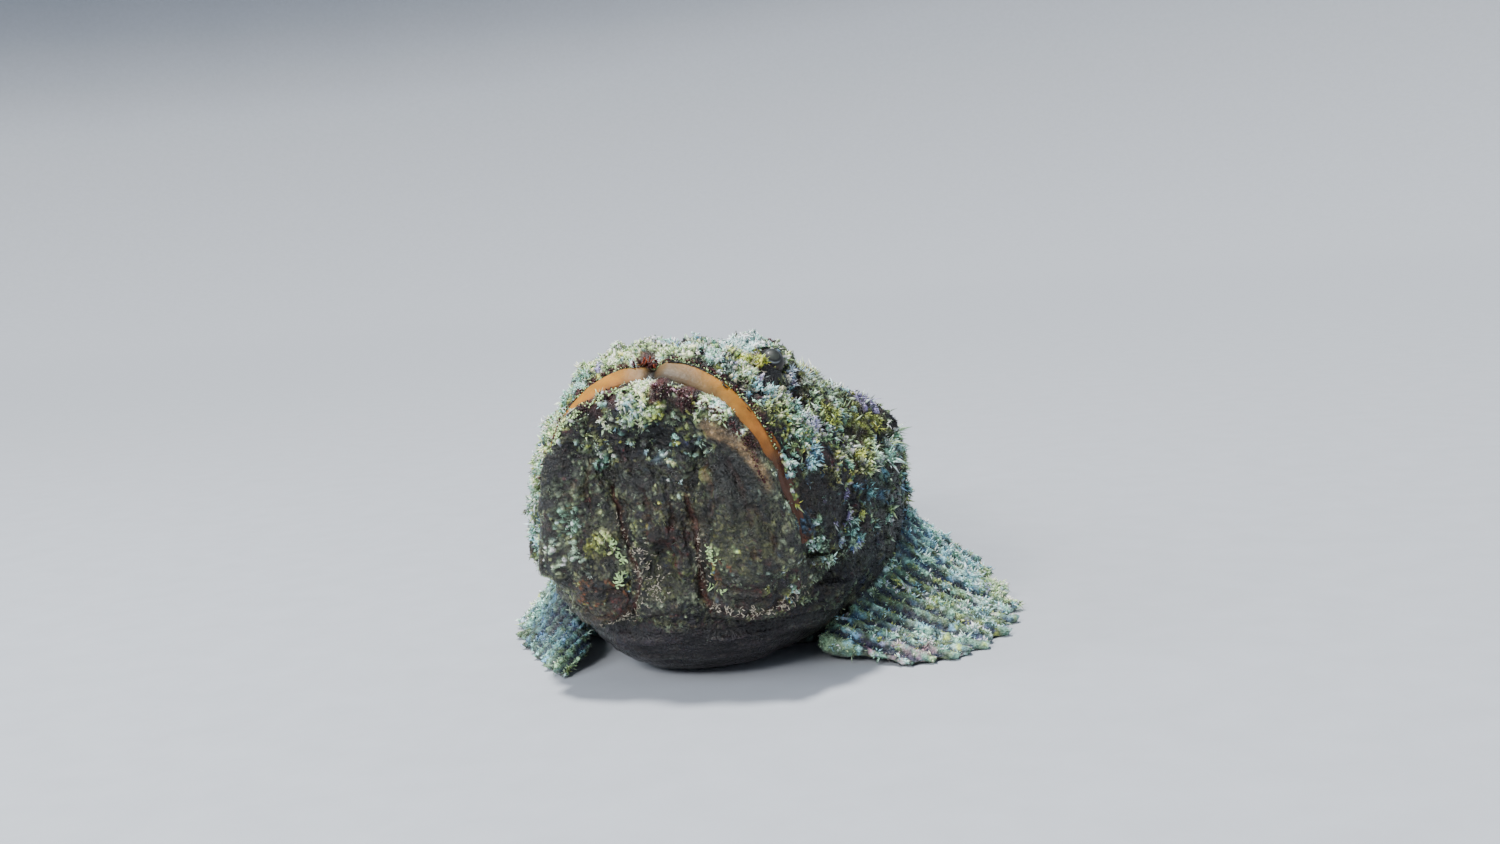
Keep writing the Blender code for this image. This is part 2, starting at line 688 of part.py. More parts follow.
def build():
    clear_scene()
    parts = bpy.data.collections.new("stonefish")
    cutters = bpy.data.collections.new("cutters")
    for collection in (parts, cutters):
        bpy.context.scene.collection.children.link(collection)
    skin = material("warty skin", SKIN_COLOUR, 0.75)
    face = material("face skin", FACE_COLOUR, 0.7)
    fins = material("fin skin", FIN_COLOUR, 0.7)
    lining = material("mouth lining", LINING_COLOUR, 0.35)
    wet = material("eye", EYE_COLOUR, 0.08)

    body = new_object("body", body_ball(), cutters)
    clay = Clay(body.data)
    for stroke in (
        shape_crown,
        shape_cheeks,
        shape_upper_jaw,
        shape_lips,
        shape_lower_jaw,
        shape_body,
        shape_warts,
        shape_eyelids,
        shape_nostrils,
    ):
        stroke(clay)
    thin_out(body, BODY_TRIANGLES, face_weights(clay.points))
    keep_largest(body)

    floor = box_cutter("floor", (-0.3, -0.3, -0.05), (0.3, 0.3, 0), cutters)
    combine(body, floor, "DIFFERENCE")
    around_body = grown(body, GAP, "around_body", cutters)
    inside_body = grown(body, -LINING_SET_BACK, "inside_body", cutters)
    coarser = inside_body.modifiers.new("Fewer faces", "DECIMATE")
    coarser.ratio = INSIDE_SHARE
    apply_modifiers(inside_body)
    tree = BVHTree.FromObject(body, bpy.context.evaluated_depsgraph_get())

    def back(behind):
        """The height of the back in mm, this many mm behind the face."""
        x, y, z = placed((0, behind, 200))
        hit = tree.ray_cast(Vector((x, y, z)), Vector((0, 0, -1)))[0]
        return hit.z / MM if hit else 30.0

    def under(behind):
        x, y, z = placed((0, behind, -50))
        hit = tree.ray_cast(Vector((x, y, z)), Vector((0, 0, 1)))[0]
        return hit.z / MM if hit else 20.0

    made = []

    def finish(thing, look, root=True):
        """Cuts a fin clear of the body and the floor, and gives it its skin."""
        if root:
            combine(thing, around_body, "DIFFERENCE")
        if min(vert.co.z for vert in thing.data.vertices) < 0:
            combine(thing, floor, "DIFFERENCE")
        thing.data.materials.clear()
        thing.data.materials.append(look)
        thing.data.shade_smooth()
        made.append(thing)

    for side, word, tips in ((1, "left", LEFT_PECTORAL_TIPS), (-1, "right", RIGHT_PECTORAL_TIPS)):
        edge = pectoral_edge(side, tips)
        finish(
            fin(f"pectoral_fin_{word}", edge, PECTORAL_RAYS, 6, 8 * MM, 0.5, 0.07, parts),
            fins,
        )
        finish(
            fin(f"pelvic_fin_{word}", pelvic_edge(side), PELVIC_RAYS, 4, 3.4 * MM, 0.55, 0.1, parts),
            fins,
        )
    finish(
        fin(
            "spiny_dorsal_fin",
            dorsal_edge(back, 84, 190, spine_length, math.radians(60), 0.12),
            DORSAL_SPINES,
            4,
            6 * MM,
            0.42,
            0.5,
            parts,
        ),
        skin,
    )
    finish(
        fin(
            "soft_dorsal_fin",
            dorsal_edge(back, 200, 226, lambda u: 17 - 3 * u, math.radians(52), 0.05),
            SOFT_DORSAL_RAYS,
            4,
            4 * MM,
            0.5,
            0.14,
            parts,
        ),
        fins,
    )
    finish(fin("anal_fin", anal_edge(under), ANAL_RAYS, 4, 4 * MM, 0.5, 0.12, parts), fins)
    finish(fin("tail_fin", tail_edge, TAIL_RAYS, 6, 8 * MM, 0.5, 0.06, parts), fins)

    # The mouth: lower jaw, then the lining between the jaws
    front, back_wall = SNOUT_Y - 20 * MM, SNOUT_Y + MOUTH_DEPTH
    half = MOUTH_OPENING / 2
    jaw_block = slab_cutter("jaw_block", jaw_outline(-half), "Y", front, back_wall - GAP, cutters)
    mouth_block = slab_cutter("mouth_block", jaw_outline(half), "Y", front, back_wall, cutters)
    lining_block = slab_cutter(
        "lining_block", jaw_outline(half, -GAP), "Y", front, back_wall - GAP, cutters
    )
    jaw_room = slab_cutter(
        "jaw_room", jaw_outline(-half, GAP), "Y", front - 1 * MM, back_wall + 1 * MM, cutters
    )

    jaw = copy_of(body, "lower_jaw", parts)
    combine(jaw, jaw_block, "INTERSECT")
    inner = copy_of(inside_body, "mouth_lining", cutters)
    combine(inner, lining_block, "INTERSECT")
    below = box_cutter(
        "below_mouth",
        (-0.1, front - 2 * MM, 0),
        (0.1, back_wall + 2 * MM, mouth_point(MOUTH_END_ANGLE)[1] + 3 * MM),
        cutters,
    )
    for side, word in ((1, "left"), (-1, "right")):
        strip = copy_of(inner, f"mouth_lining_{word}", parts)
        ends = sorted((side * -0.1, side * LINING_PARTING / 2))
        half_block = box_cutter(
            f"half_{word}", (ends[0], front - 3 * MM, 0), (ends[1], back_wall + 3 * MM, 0.12), cutters
        )
        for cutter in (jaw_room, below, half_block):
            combine(strip, cutter, "DIFFERENCE")
        finish(strip, lining, root=False)
    combine(body, mouth_block, "DIFFERENCE")

    for side, word in ((1, "left"), (-1, "right")):
        eye_bm = bmesh.new()
        bmesh.ops.create_uvsphere(eye_bm, u_segments=12, v_segments=8, radius=EYE_RADIUS)
        eye_mesh = bpy.data.meshes.new("eye")
        eye_bm.to_mesh(eye_mesh)
        eye_bm.free()
        centre = Vector(eye_centre(side))
        eye = new_object(f"eye_{word}", eye_mesh, parts)
        socket = new_object(f"socket_{word}", eye_mesh.copy(), cutters)
        for vert in socket.data.vertices:
            vert.co = centre + vert.co * (1 + GAP / EYE_RADIUS)
        for vert in eye.data.vertices:
            vert.co += centre
        combine(body, socket, "DIFFERENCE")
        finish(eye, wet, root=False)

    for side, word in ((1, "left"), (-1, "right")):
        cover = copy_of(body, f"gill_cover_{word}", parts)
        block = slab_cutter(
            f"gill_{word}", gill_outline(0), "X", side * (GILL_ROOT + GAP), side * 0.1, cutters
        )
        room = slab_cutter(
            f"gill_room_{word}", gill_outline(GAP), "X", side * GILL_ROOT, side * 0.11, cutters
        )
        combine(cover, block, "INTERSECT")
        combine(body, room, "DIFFERENCE")
        finish(cover, skin, root=False)

    cuts = ((-60 * MM, HEAD_END, "head"), (HEAD_END + GAP, TRUNK_END, "trunk"))
    for start, end, name in cuts + ((TRUNK_END + GAP, TOTAL_LENGTH + 60 * MM, "tail_stalk"),):
        piece = copy_of(body, name, parts)
        slice_box = box_cutter(
            f"{name}_slice", (-0.2, SNOUT_Y + start, -0.1), (0.2, SNOUT_Y + end, 0.2), cutters
        )
        combine(piece, slice_box, "INTERSECT")
        finish(piece, skin, root=False)
    finish(jaw, face, root=False)

    for piece in made:
        for vert in piece.data.vertices:
            vert.co += CENTRING
    for cutter in cutters.objects:
        cutter.hide_render = True
        cutter.display_type = "WIRE"


build()
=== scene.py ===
import math

import bmesh
import bpy
import numpy as np
from mathutils import Matrix, Vector
from mathutils.bvhtree import BVHTree


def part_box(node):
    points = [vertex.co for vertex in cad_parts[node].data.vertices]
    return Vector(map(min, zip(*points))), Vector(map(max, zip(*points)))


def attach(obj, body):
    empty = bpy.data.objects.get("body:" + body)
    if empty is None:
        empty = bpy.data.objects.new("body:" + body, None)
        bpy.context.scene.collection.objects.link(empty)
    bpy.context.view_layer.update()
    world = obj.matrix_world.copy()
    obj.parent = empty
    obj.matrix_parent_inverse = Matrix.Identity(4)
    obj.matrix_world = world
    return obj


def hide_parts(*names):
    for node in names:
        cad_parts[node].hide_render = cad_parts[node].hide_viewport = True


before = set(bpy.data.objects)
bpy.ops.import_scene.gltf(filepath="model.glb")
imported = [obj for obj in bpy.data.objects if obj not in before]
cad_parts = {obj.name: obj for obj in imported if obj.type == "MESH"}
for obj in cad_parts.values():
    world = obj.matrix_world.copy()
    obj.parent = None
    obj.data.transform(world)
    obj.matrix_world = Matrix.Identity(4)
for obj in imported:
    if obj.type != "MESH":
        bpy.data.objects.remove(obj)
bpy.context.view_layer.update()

# The viewpoint: low down before the face and a little to the fish's left, as the picture has it.
# The camera is aimed so that a point in the middle of the face falls on its own pixel of the
# picture, and it is rolled a little. Nothing here is part of the fish.

MM = 0.001
PICTURE_WIDTH, PICTURE_HEIGHT = 1500, 844
FOCAL_PIXELS = 1458
SENSOR_WIDTH = 36
FACE_PIXEL = (677, 522)
FACE_POINT = (0, 17, 45)
VIEW_AZIMUTH, VIEW_ELEVATION, VIEW_ROLL = (math.radians(a) for a in (18, 10, -4.5))
VIEW_DISTANCE = 408 * MM
AIM_STEPS = 30
JAW_BEFORE_FACE = 4 * MM

jaw_low, jaw_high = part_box("lower_jaw")
middle_x = (jaw_low[0] + jaw_high[0]) / 2
face_y = jaw_low[1] + JAW_BEFORE_FACE


def at(side, behind, up):
    """A place in mm: to the fish's left of its midline, behind its face and above the floor."""
    return Vector((middle_x + side * MM, face_y + behind * MM, up * MM))


def camera_axes(yaw, pitch):
    """Right, up and forward of a camera turned this far, with the picture's roll."""
    ahead = Vector((math.sin(yaw) * math.cos(pitch), math.cos(yaw) * math.cos(pitch), math.sin(pitch)))
    level = Vector((math.cos(yaw), -math.sin(yaw), 0))
    above = level.cross(ahead)
    right = level * math.cos(VIEW_ROLL) + above * math.sin(VIEW_ROLL)
    return right, above * math.cos(VIEW_ROLL) - level * math.sin(VIEW_ROLL), ahead


aim = at(*FACE_POINT)
level = math.cos(VIEW_ELEVATION)
towards_camera = Vector(
    (math.sin(VIEW_AZIMUTH) * level, -math.cos(VIEW_AZIMUTH) * level, math.sin(VIEW_ELEVATION))
)
camera_place = aim + towards_camera * VIEW_DISTANCE
yaw, pitch = -VIEW_AZIMUTH, -VIEW_ELEVATION
for _ in range(AIM_STEPS):
    right, above, ahead = camera_axes(yaw, pitch)
    sight = aim - camera_place
    depth = sight.dot(ahead)
    yaw += PICTURE_WIDTH / 2 / FOCAL_PIXELS + sight.dot(right) / depth - FACE_PIXEL[0] / FOCAL_PIXELS
    pitch += sight.dot(above) / depth - (PICTURE_HEIGHT / 2 - FACE_PIXEL[1]) / FOCAL_PIXELS

right, above, ahead = camera_axes(yaw, pitch)
lens = bpy.data.cameras.new("view")
lens.sensor_width = SENSOR_WIDTH
lens.lens = SENSOR_WIDTH * FOCAL_PIXELS / PICTURE_WIDTH
lens.clip_start = 10 * MM
camera = bpy.data.objects.new("view", lens)
bpy.context.scene.collection.objects.link(camera)
camera_turn = Matrix((right, above, -ahead)).transposed().to_4x4()
camera.matrix_world = Matrix.Translation(camera_place) @ camera_turn
bpy.context.scene.camera = camera

# The skin: thick loose skin without scales, one hide from the lips to the tips of the fins.
# The flesh pieces of the frame are swollen until their joints close, made one closed surface, and
# drawn back in to lie under the crust that grows on it. Only the eyes and mouth lining stay apart.

SEAM_CLOSING = 0.35 * MM
WELD = 0.01 * MM
SKIN_GRAIN = 1.22 * MM
RELAXING = 0.5
FACE_DEPTH = 38
FACE_FINE_FROM = 5 * MM
FLESH_DEPTH = 0.55 * MM
FIN_DEPTH = 0.12 * MM
FLOOR_REST = 0.2 * MM

flesh = [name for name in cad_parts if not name.startswith(("eye", "mouth"))]


def mesh_from(shape, name):
    """A bmesh as a mesh of its own."""
    made = bpy.data.meshes.new(name)
    shape.to_mesh(made)
    shape.free()
    return made


def object_from(mesh):
    """The mesh as an object in the scene, at the origin and unturned."""
    made = bpy.data.objects.new(mesh.name, mesh)
    bpy.context.scene.collection.objects.link(made)
    return made


def values(collection, what, width, kind=np.float32):
    """One property of every item of a mesh, as an array with this many columns."""
    flat = np.empty(len(collection) * width, kind)
    collection.foreach_get(what, flat)
    return flat.reshape(-1, width) if width > 1 else flat


def swollen_copy(node, amount):
    """A merged copy of a node's mesh with its surface moved outwards."""
    shape = bmesh.new()
    shape.from_mesh(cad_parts[node].data)
    bmesh.ops.remove_doubles(shape, verts=shape.verts, dist=WELD)
    shape.normal_update()
    for vert, outward in [(v, v.normal.copy()) for v in shape.verts]:
        vert.co += outward * amount
    return mesh_from(shape, "swollen")


def remeshed(thing, grain):
    """The object's surface drawn again as even small squares."""
    voxels = thing.modifiers.new("Even squares", "REMESH")
    voxels.mode = "VOXEL"
    voxels.voxel_size = grain
    graph = bpy.context.evaluated_depsgraph_get()
    made = bmesh.new()
    made.from_mesh(thing.evaluated_get(graph).to_mesh())
    bpy.data.objects.remove(thing)
    return made


def relaxed(shape, verts, rounds):
    """Draws these points of a bmesh towards the middle of their neighbours."""
    every_way = {f"use_axis_{letter}": True for letter in "xyz"}
    for _ in range(rounds):
        bmesh.ops.smooth_vert(shape, verts=verts, factor=RELAXING, **every_way)


pieces = bmesh.new()
corners, patches, patch_owner = [], [], []
for name in flesh:
    pieces.from_mesh(swollen_copy(name, SEAM_CLOSING))
    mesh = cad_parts[name].data
    start = len(corners)
    corners.extend(v.co.copy() for v in mesh.vertices)
    patches.extend([start + i for i in p.vertices] for p in mesh.polygons)
    patch_owner.extend([name] * len(mesh.polygons))
solids = BVHTree.FromPolygons(corners, patches)
hide = remeshed(object_from(mesh_from(pieces, "pieces")), SKIN_GRAIN)
relaxed(hide, hide.verts, 2)

hide.verts.ensure_lookup_table()
owner = [patch_owner[solids.find_nearest(v.co)[2]] for v in hide.verts]
face_end = face_y + FACE_DEPTH * MM
on_face = [v.co.y < face_end and v.co.z > FACE_FINE_FROM for v in hide.verts]
fine = {v for v, name, here in zip(hide.verts, owner, on_face) if here and "fin" not in name}
face_edges = [e for e in hide.edges if e.verts[0] in fine and e.verts[1] in fine]
bmesh.ops.subdivide_edges(hide, edges=face_edges, cuts=1, use_grid_fill=True)
relaxed(hide, [v for v in hide.verts if v.co.y < face_end], 1)
bmesh.ops.triangulate(hide, faces=[f for f in hide.faces if len(f.verts) > 4])
skin_mesh = mesh_from(hide, "skin")
skin = object_from(skin_mesh)


def fish_mm(points):
    """How far these points are to the fish's left, behind its face and above the floor, in mm."""
    return (points[:, 0] - middle_x) / MM, (points[:, 1] - face_y) / MM, points[:, 2] / MM


class Hide:
    """The skin's points, with their places on the fish in mm, and the strokes that shape them."""

    def __init__(self, mesh):
        self.mesh = mesh
        self.points = values(mesh.vertices, "co", 3).astype(float)
        owners = [patch_owner[solids.find_nearest(p)[2]] for p in self.points]
        self.fin = np.array(["fin" in name for name in owners])
        self.jaw = np.array([name == "lower_jaw" for name in owners])
        self.refresh()

    def refresh(self):
        """Writes the points to the mesh and reads its normals and places again."""
        self.mesh.vertices.foreach_set("co", self.points.astype(np.float32).ravel())
        self.mesh.update()
        self.outward = values(self.mesh.vertex_normals, "vector", 3).astype(float)
        self.side, self.behind, self.up = fish_mm(self.points)

    def raise_by(self, height):
        """Moves each point outwards by its own height in mm."""
        self.points += self.outward * (height * MM)[:, None]


def eased(value, start, end):
    """From 0 to 1 as value goes from start to end, smooth at both."""
    t = np.clip((value - start) / (end - start), 0, 1)
    return t * t * (3 - 2 * t)


def spot(first, second, place):
    """1 at a place of two coordinates, and smoothly down to 0 beyond its two radii."""
    return np.exp(-(((first - place[0]) / place[2]) ** 2 + ((second - place[1]) / place[3]) ** 2))


def bell(away, width):
    """1 where away is none, and smoothly down to 0 well beyond the width."""
    return np.exp(-((away / width) ** 2))


CELL_PRIMES = (374761393, 668265263, 1442695041)
MIX_PRIMES = (1274126177, 2246822519)
LOW_BITS = 0xFFFFFFFF


def scatter(cells, seed):
    """A steady random number from 0 to 1 for each cell of a grid in space."""
    mixed = sum(cells[:, k] * CELL_PRIMES[k] for k in range(3)) + seed * MIX_PRIMES[0]
    mixed = mixed & LOW_BITS
    mixed = ((mixed ^ (mixed >> 13)) * MIX_PRIMES[0]) & LOW_BITS
    mixed = ((mixed ^ (mixed >> 15)) * MIX_PRIMES[1]) & LOW_BITS
    return (mixed ^ (mixed >> 16)) / 2**32


def ripple(points, size, seed, stretch=(1, 1, 1)):
    """Soft random hills and dips from -1 to 1, about size mm apart, longer where stretched."""
    place = points / (np.array(stretch) * size * MM) + seed * 13.7
    cell = np.floor(place).astype(np.int64)
    share = place - cell
    share = share**3 * (share * (share * 6 - 15) + 10)
    total = np.zeros(len(points))
    for step in np.ndindex(2, 2, 2):
        weight = np.prod(np.where(np.array(step) == 1, share, 1 - share), axis=1)
        total += weight * scatter(cell + np.array(step), seed)
    return total * 2 - 1


def pebbles(points, size, seed):
    """Random pebbles about size mm apart: how far each point is from the nearest one's middle, in
    sizes, how near it is to being between two, and that pebble's own random number."""
    place = points / (size * MM) + seed * 7.3
    cell = np.floor(place).astype(np.int64)
    nearest = np.full(len(points), 9.0)
    second = np.full(len(points), 9.0)
    own = np.zeros(len(points))
    for step in np.ndindex(3, 3, 3):
        near = cell + np.array(step) - 1
        middle = near + 0.1 + 0.8 * np.stack([scatter(near, seed + k) for k in (1, 2, 3)], 1)
        away = np.linalg.norm(place - middle, axis=1)
        closer = away < nearest
        second = np.where(closer, nearest, np.minimum(second, away))
        own = np.where(closer, scatter(near, seed + 4), own)
        nearest = np.where(closer, away, nearest)
    return nearest, second - nearest, own


FAR = 99.0


def line_gap(side, up, path):
    """How far each point lies, seen from in front, from a path of (side, up) in mm."""
    path = np.array(path, float)
    stops = np.linspace(0, len(path) - 1, 10 * len(path))
    line = np.stack([np.interp(stops, np.arange(len(path)), path[:, k]) for k in (0, 1)], 1)
    gap = np.full(len(side), FAR)
    for x, z in line:
        gap = np.minimum(gap, np.hypot(side - x, up - z))
    return gap


# Folds on the fish's face as (side, up) in mm: two deep creases down the lower jaw, part of the
# way round the two lobes under it, and shallower wrinkles that fan out beside them.
JAW_CREASES = (
    ((-12.5, 58), (-11.4, 52), (-10.8, 46), (-9.4, 39.5), (-7.4, 33.5), (-8.6, 27), (-11, 22)),
    ((8.2, 55), (9.3, 48), (9.7, 42), (9.3, 35), (9.5, 28), (11, 22.5)),
)
# Mounds and hollows of the lower jaw: side and up in mm, radius and height in mm
JAW_BUMPS = (
    (-1.3, 80.8, 6.3, 1.5),
    (17.5, 77.5, 4.5, 1.4),
    (-11.5, 82.5, 2.6, 1.0),
    (-17.5, 79.5, 2.8, 1.0),
    (5.5, 83, 3.0, 1.0),
    (12.8, 80, 3.2, 1.2),
    (-22, 75.5, 4, 1.2),
    (14.8, 60.4, 2.2, 2.2),
    (1.3, 64.8, 1.8, 1.4),
    (1.5, 70.5, 4, -1.8),
    (-2, 69.5, 1.2, 1.2),
    (21, 60, 6, -1.0),
    (8.5, 48, 5, -1.1),
    (13.1, 45.8, 2, -1.3),
    (-14.5, 33, 3.5, 1.2),
    (-16, 43, 3, 1.0),
    (-25, 63, 4, -0.8),
    (24, 42, 8, 0.8),
)
JAW_WRINKLES = (
    ((-12, 24), (-16, 21), (-22, 21), (-28, 25)),
    ((-11, 31), (-15, 29), (-20, 30)),
    ((11, 25), (17, 21.5), (25, 21), (33, 25)),
    ((13, 31), (19, 28), (27, 28)),
    ((-17, 66), (-19, 58), (-18, 50)),
    ((-22, 60), (-25, 50), (-25, 41)),
    ((-3, 57), (-2, 50), (-4, 44)),
    ((3.5, 58), (4.5, 50), (3.5, 44), (5, 37)),
    ((14, 66), (16, 58), (15, 50)),
    ((20, 66), (24, 58), (26, 48), (26, 38)),
    ((27, 52), (31, 43), (32, 34)),
)
# The lids: the radius round the eye's middle that they leave free, the radius of their rim and how
# wide it fades, all in mm, how high it stands, how far it draws in, and the way that it faces
EYE_REACH = 4.2
LID_RADIUS, LID_FADE, LID_BACK = 4.5, (0.6, 3.4), -1.5
LID_HEIGHT = 1.7
LID_PULL = 0.2
LID_FACING = (0.45, -0.45, 0.77)

# The mouth's arch, as the frame has it, and how far the lips leave it open: rows of the angle round
# from the notch at its top, towards the fish's left, and half the opening in mm. Lower down the lips
# close over the lining to a thin dark line.
MOUTH_HALF_WIDTH, MOUTH_RISE, MOUTH_CENTRE_UP = 33, 40.5, 46
MOUTH_END = math.radians(104)
BEYOND_MOUTH = 90
MOUTH_FLOOR = 30
LIP_EDGE, LIP_REACH = 3.2, 8.0
FRAME_OPENING = 3.7
OPENING = (
    *((-1.8, 0.25), (-1.08, 0.3), (-0.95, 0.9), (-0.75, 1.7), (-0.5, 2.2), (-0.2, 2.3)),
    *((-0.06, 1.9), (0.0, 1.3), (0.06, 2.0), (0.2, 3.0), (0.45, 2.6), (0.75, 2.0)),
    *((1.0, 1.4), (1.2, 0.95), (1.35, 0.7), (1.6, 0.4), (1.8, 0.25)),
)
# How far in mm both lips stand higher than the frame has them: rows of the same angle
ARCH_LIFT = (
    *((-1.3, 0.6), (-1.0, 2.0), (-0.8, 2.6), (-0.5, 2.1), (-0.2, 1.5), (0.0, 0.4), (0.12, 1.9)),
    *((0.35, 1.8), (0.6, 1.6), (0.85, 1.7), (1.1, 1.35), (1.35, 0.6), (1.5, 0)),
)
# The smooth tan fold of the lower lip, on the fish's left: its path as (side, up) in mm
TAN_FOLD = ((16, 74), (21.5, 70.5), (26, 66.5), (29.5, 61.5), (31.5, 56), (32, 51))


def read_off(rows, value):
    """Reads a table of two columns at these values of the first."""
    return np.interp(value, *np.array(rows).T)


def mouth_arch(angle):
    """(side, up) in mm on the mouth's arch, this angle round from its top."""
    flare = 5 * np.maximum(0, (np.abs(angle) - 1.2) / (MOUTH_END - 1.2)) ** 1.5
    return (MOUTH_HALF_WIDTH + flare) * np.sin(angle), MOUTH_CENTRE_UP + MOUTH_RISE * np.cos(angle)


arch_angles = np.linspace(-MOUTH_END, MOUTH_END, 361)
arch = np.stack(mouth_arch(arch_angles), 1)


def mouth_place(side, up):
    """Seen from in front: the angle round the mouth, how far outside its arch, and the way out."""
    seen = np.stack([side, up], 1)
    nearest = np.empty(len(seen), int)
    for start in range(0, len(seen), 20000):
        some = seen[start : start + 20000]
        nearest[start : start + 20000] = ((some[:, None] - arch[None]) ** 2).sum(axis=2).argmin(axis=1)
    away = seen - arch[nearest]
    across = np.gradient(arch, axis=0)[nearest]
    way_out = np.stack([-across[:, 1], across[:, 0]], 1)
    way_out /= np.linalg.norm(way_out, axis=1)[:, None]
    spread = (away * way_out).sum(axis=1)
    ends = np.linalg.norm(away, axis=1) > np.abs(spread) + 0.6
    return arch_angles[nearest], np.where(ends, FAR, spread), way_out


hide_work = Hide(skin_mesh)
shrink = np.where(hide_work.fin, SEAM_CLOSING + FIN_DEPTH, SEAM_CLOSING + FLESH_DEPTH) / MM
hide_work.raise_by(-shrink)
hide_work.refresh()

eye_centres = []
for word in ("left", "right"):
    eye_low, eye_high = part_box(f"eye_{word}")
    eye_centres.append(np.array([(a + b) / 2 for a, b in zip(eye_low, eye_high)]))
from_eye = np.min([np.linalg.norm(hide_work.points - c, axis=1) for c in eye_centres], axis=0) / MM

angle, spread, way_out = mouth_place(hide_work.side, hide_work.up)
half_open = read_off(OPENING, angle)
by_mouth = (spread < BEYOND_MOUTH) & (hide_work.up > MOUTH_FLOOR)
closing = (FRAME_OPENING - half_open) * (1 - eased(np.abs(spread), LIP_EDGE, LIP_EDGE + LIP_REACH))
closing *= 1 - eased(hide_work.behind, 24, 34)
closing = np.clip(np.where(by_mouth, closing, 0), -0.5, np.maximum(np.abs(spread) - 0.15, 0))
lift = read_off(ARCH_LIFT, angle) * (1 - eased(np.abs(spread), 4, 15))
lift *= (1 - eased(hide_work.behind, 20, 34)) * (hide_work.up > MOUTH_FLOOR)
outwards = lift - np.sign(spread) * closing
hide_work.points[:, 0] += way_out[:, 0] * outwards * MM
hide_work.points[:, 2] += way_out[:, 1] * outwards * MM
hide_work.refresh()

# Lids: the skin draws in round each eye and stands up as a thick rim, so that only part of it shows
for centre, sign in zip(eye_centres, (1, -1)):
    axis = np.array((LID_FACING[0] * sign, *LID_FACING[1:]))
    offset = hide_work.points - centre
    distance = np.linalg.norm(offset, axis=1) / MM
    along_axis = offset @ axis
    to_axis = offset - along_axis[:, None] * axis
    rim = 1 - eased(np.abs(distance - LID_RADIUS), *LID_FADE)
    rim *= along_axis > LID_BACK * MM
    hide_work.points += axis * (rim * LID_HEIGHT * MM)[:, None] - to_axis * (rim * LID_PULL)[:, None]
hide_work.refresh()

# How rough the skin is on the fins; where the jaw is smoothest and where the left fin's root bulges,
# as two places and two radii in mm; and how far the rims of the lips reach from the mouth's arch
FIN_ROUGHNESS = 0.30
SMOOTH_SPOT = (22, 42, 9, 13)
FIN_ROOT, FIN_ROOT_HEIGHT = (39, 33, 8, 7), 2.2
LIP_RIM, LIP_RIM_END = 3.4, 6.5
# Where regions of the skin fade into each other, in mm behind the face or above the floor: the face,
# the smooth lower part of the jaw, the throat from its top and its rear, and the flat underside
FACE_FADE, VELVET_FADE = (14, 26), (56, 70)
THROAT_TOP, THROAT_REAR, UNDERSIDE_TOP = (15, 20), (30, 45), (10, 22)

P, side, behind, up = hide_work.points, hide_work.side, hide_work.behind, hide_work.up
fin, jaw = hide_work.fin, hide_work.jaw
front = 1 - eased(behind, *FACE_FADE)
jaw_front = jaw * front
under = np.clip(-hide_work.outward[:, 2] * 1.6 - 0.5, 0, 1) * (1 - eased(up, *UNDERSIDE_TOP))
throat = (1 - eased(up, *THROAT_TOP)) * (1 - eased(behind, *THROAT_REAR)) * (~fin)
velvet = jaw_front * (1 - eased(up, *VELVET_FADE))
rough = (0.45 + 0.55 * eased(up, 14, 34)) * (1 - 0.8 * throat) * (1 - 0.9 * under) * (1 - 0.4 * velvet)
rough = np.where(fin, FIN_ROUGHNESS, rough) * (0.35 + 0.65 * eased(from_eye, EYE_REACH, 8))
smooth_spot = spot(side, up, SMOOTH_SPOT) * front
rough *= 1 - 0.6 * smooth_spot
lip_calm = np.where(spread < BEYOND_MOUTH, eased(np.abs(spread), LIP_RIM, LIP_RIM_END), 1)
rough *= 1 - front * (1 - lip_calm) * (up > MOUTH_FLOOR)

# The broad fins: each ray stands up as a ridge from root to tip, with the web sunk between. Rows
# give the share across the fan, then side and behind in mm where the ray starts, where it ends on
# the fish's left, and where it ends on its right, which is folded closer.
FANS = np.array(
    (
        (0, 35, 34, 62, 27, 38, 15),
        (0.18, 40.5, 42.5, 76, 36, 49, 28),
        (0.38, 45.5, 52, 84, 54, 61, 45),
        (0.6, 49, 62, 87, 77, 72, 64),
        (0.82, 50, 74.5, 83, 99, 77, 84),
        (1, 47, 84, 73, 115, 73, 101),
    )
)
FAN_RAYS = 15
# How far on in its wave, in radians, each ray's row of knobs is at its tip
KNOB_WAVE = 46


def fan_place(side, behind, fan):
    """Where points lie in a fan of rays: the share across it, and the share from root to tip."""
    shares = np.linspace(0, 1, 8 * FAN_RAYS)
    x0, y0, x1, y1 = (np.interp(shares, fan[:, 0], fan[:, k]) for k in (1, 2, 3, 4))
    length = np.hypot(x1 - x0, y1 - y0)
    away = np.full(len(side), FAR)
    across, out = np.zeros(len(side)), np.zeros(len(side))
    for share, ax, ay, bx, by, full in zip(shares, x0, y0, x1, y1, length):
        gap = np.abs((side - ax) * (by - ay) - (behind - ay) * (bx - ax)) / full
        nearer = gap < away
        away = np.where(nearer, gap, away)
        across = np.where(nearer, share, across)
        reached = ((side - ax) * (bx - ax) + (behind - ay) * (by - ay)) / full**2
        out = np.where(nearer, reached, out)
    return across, out


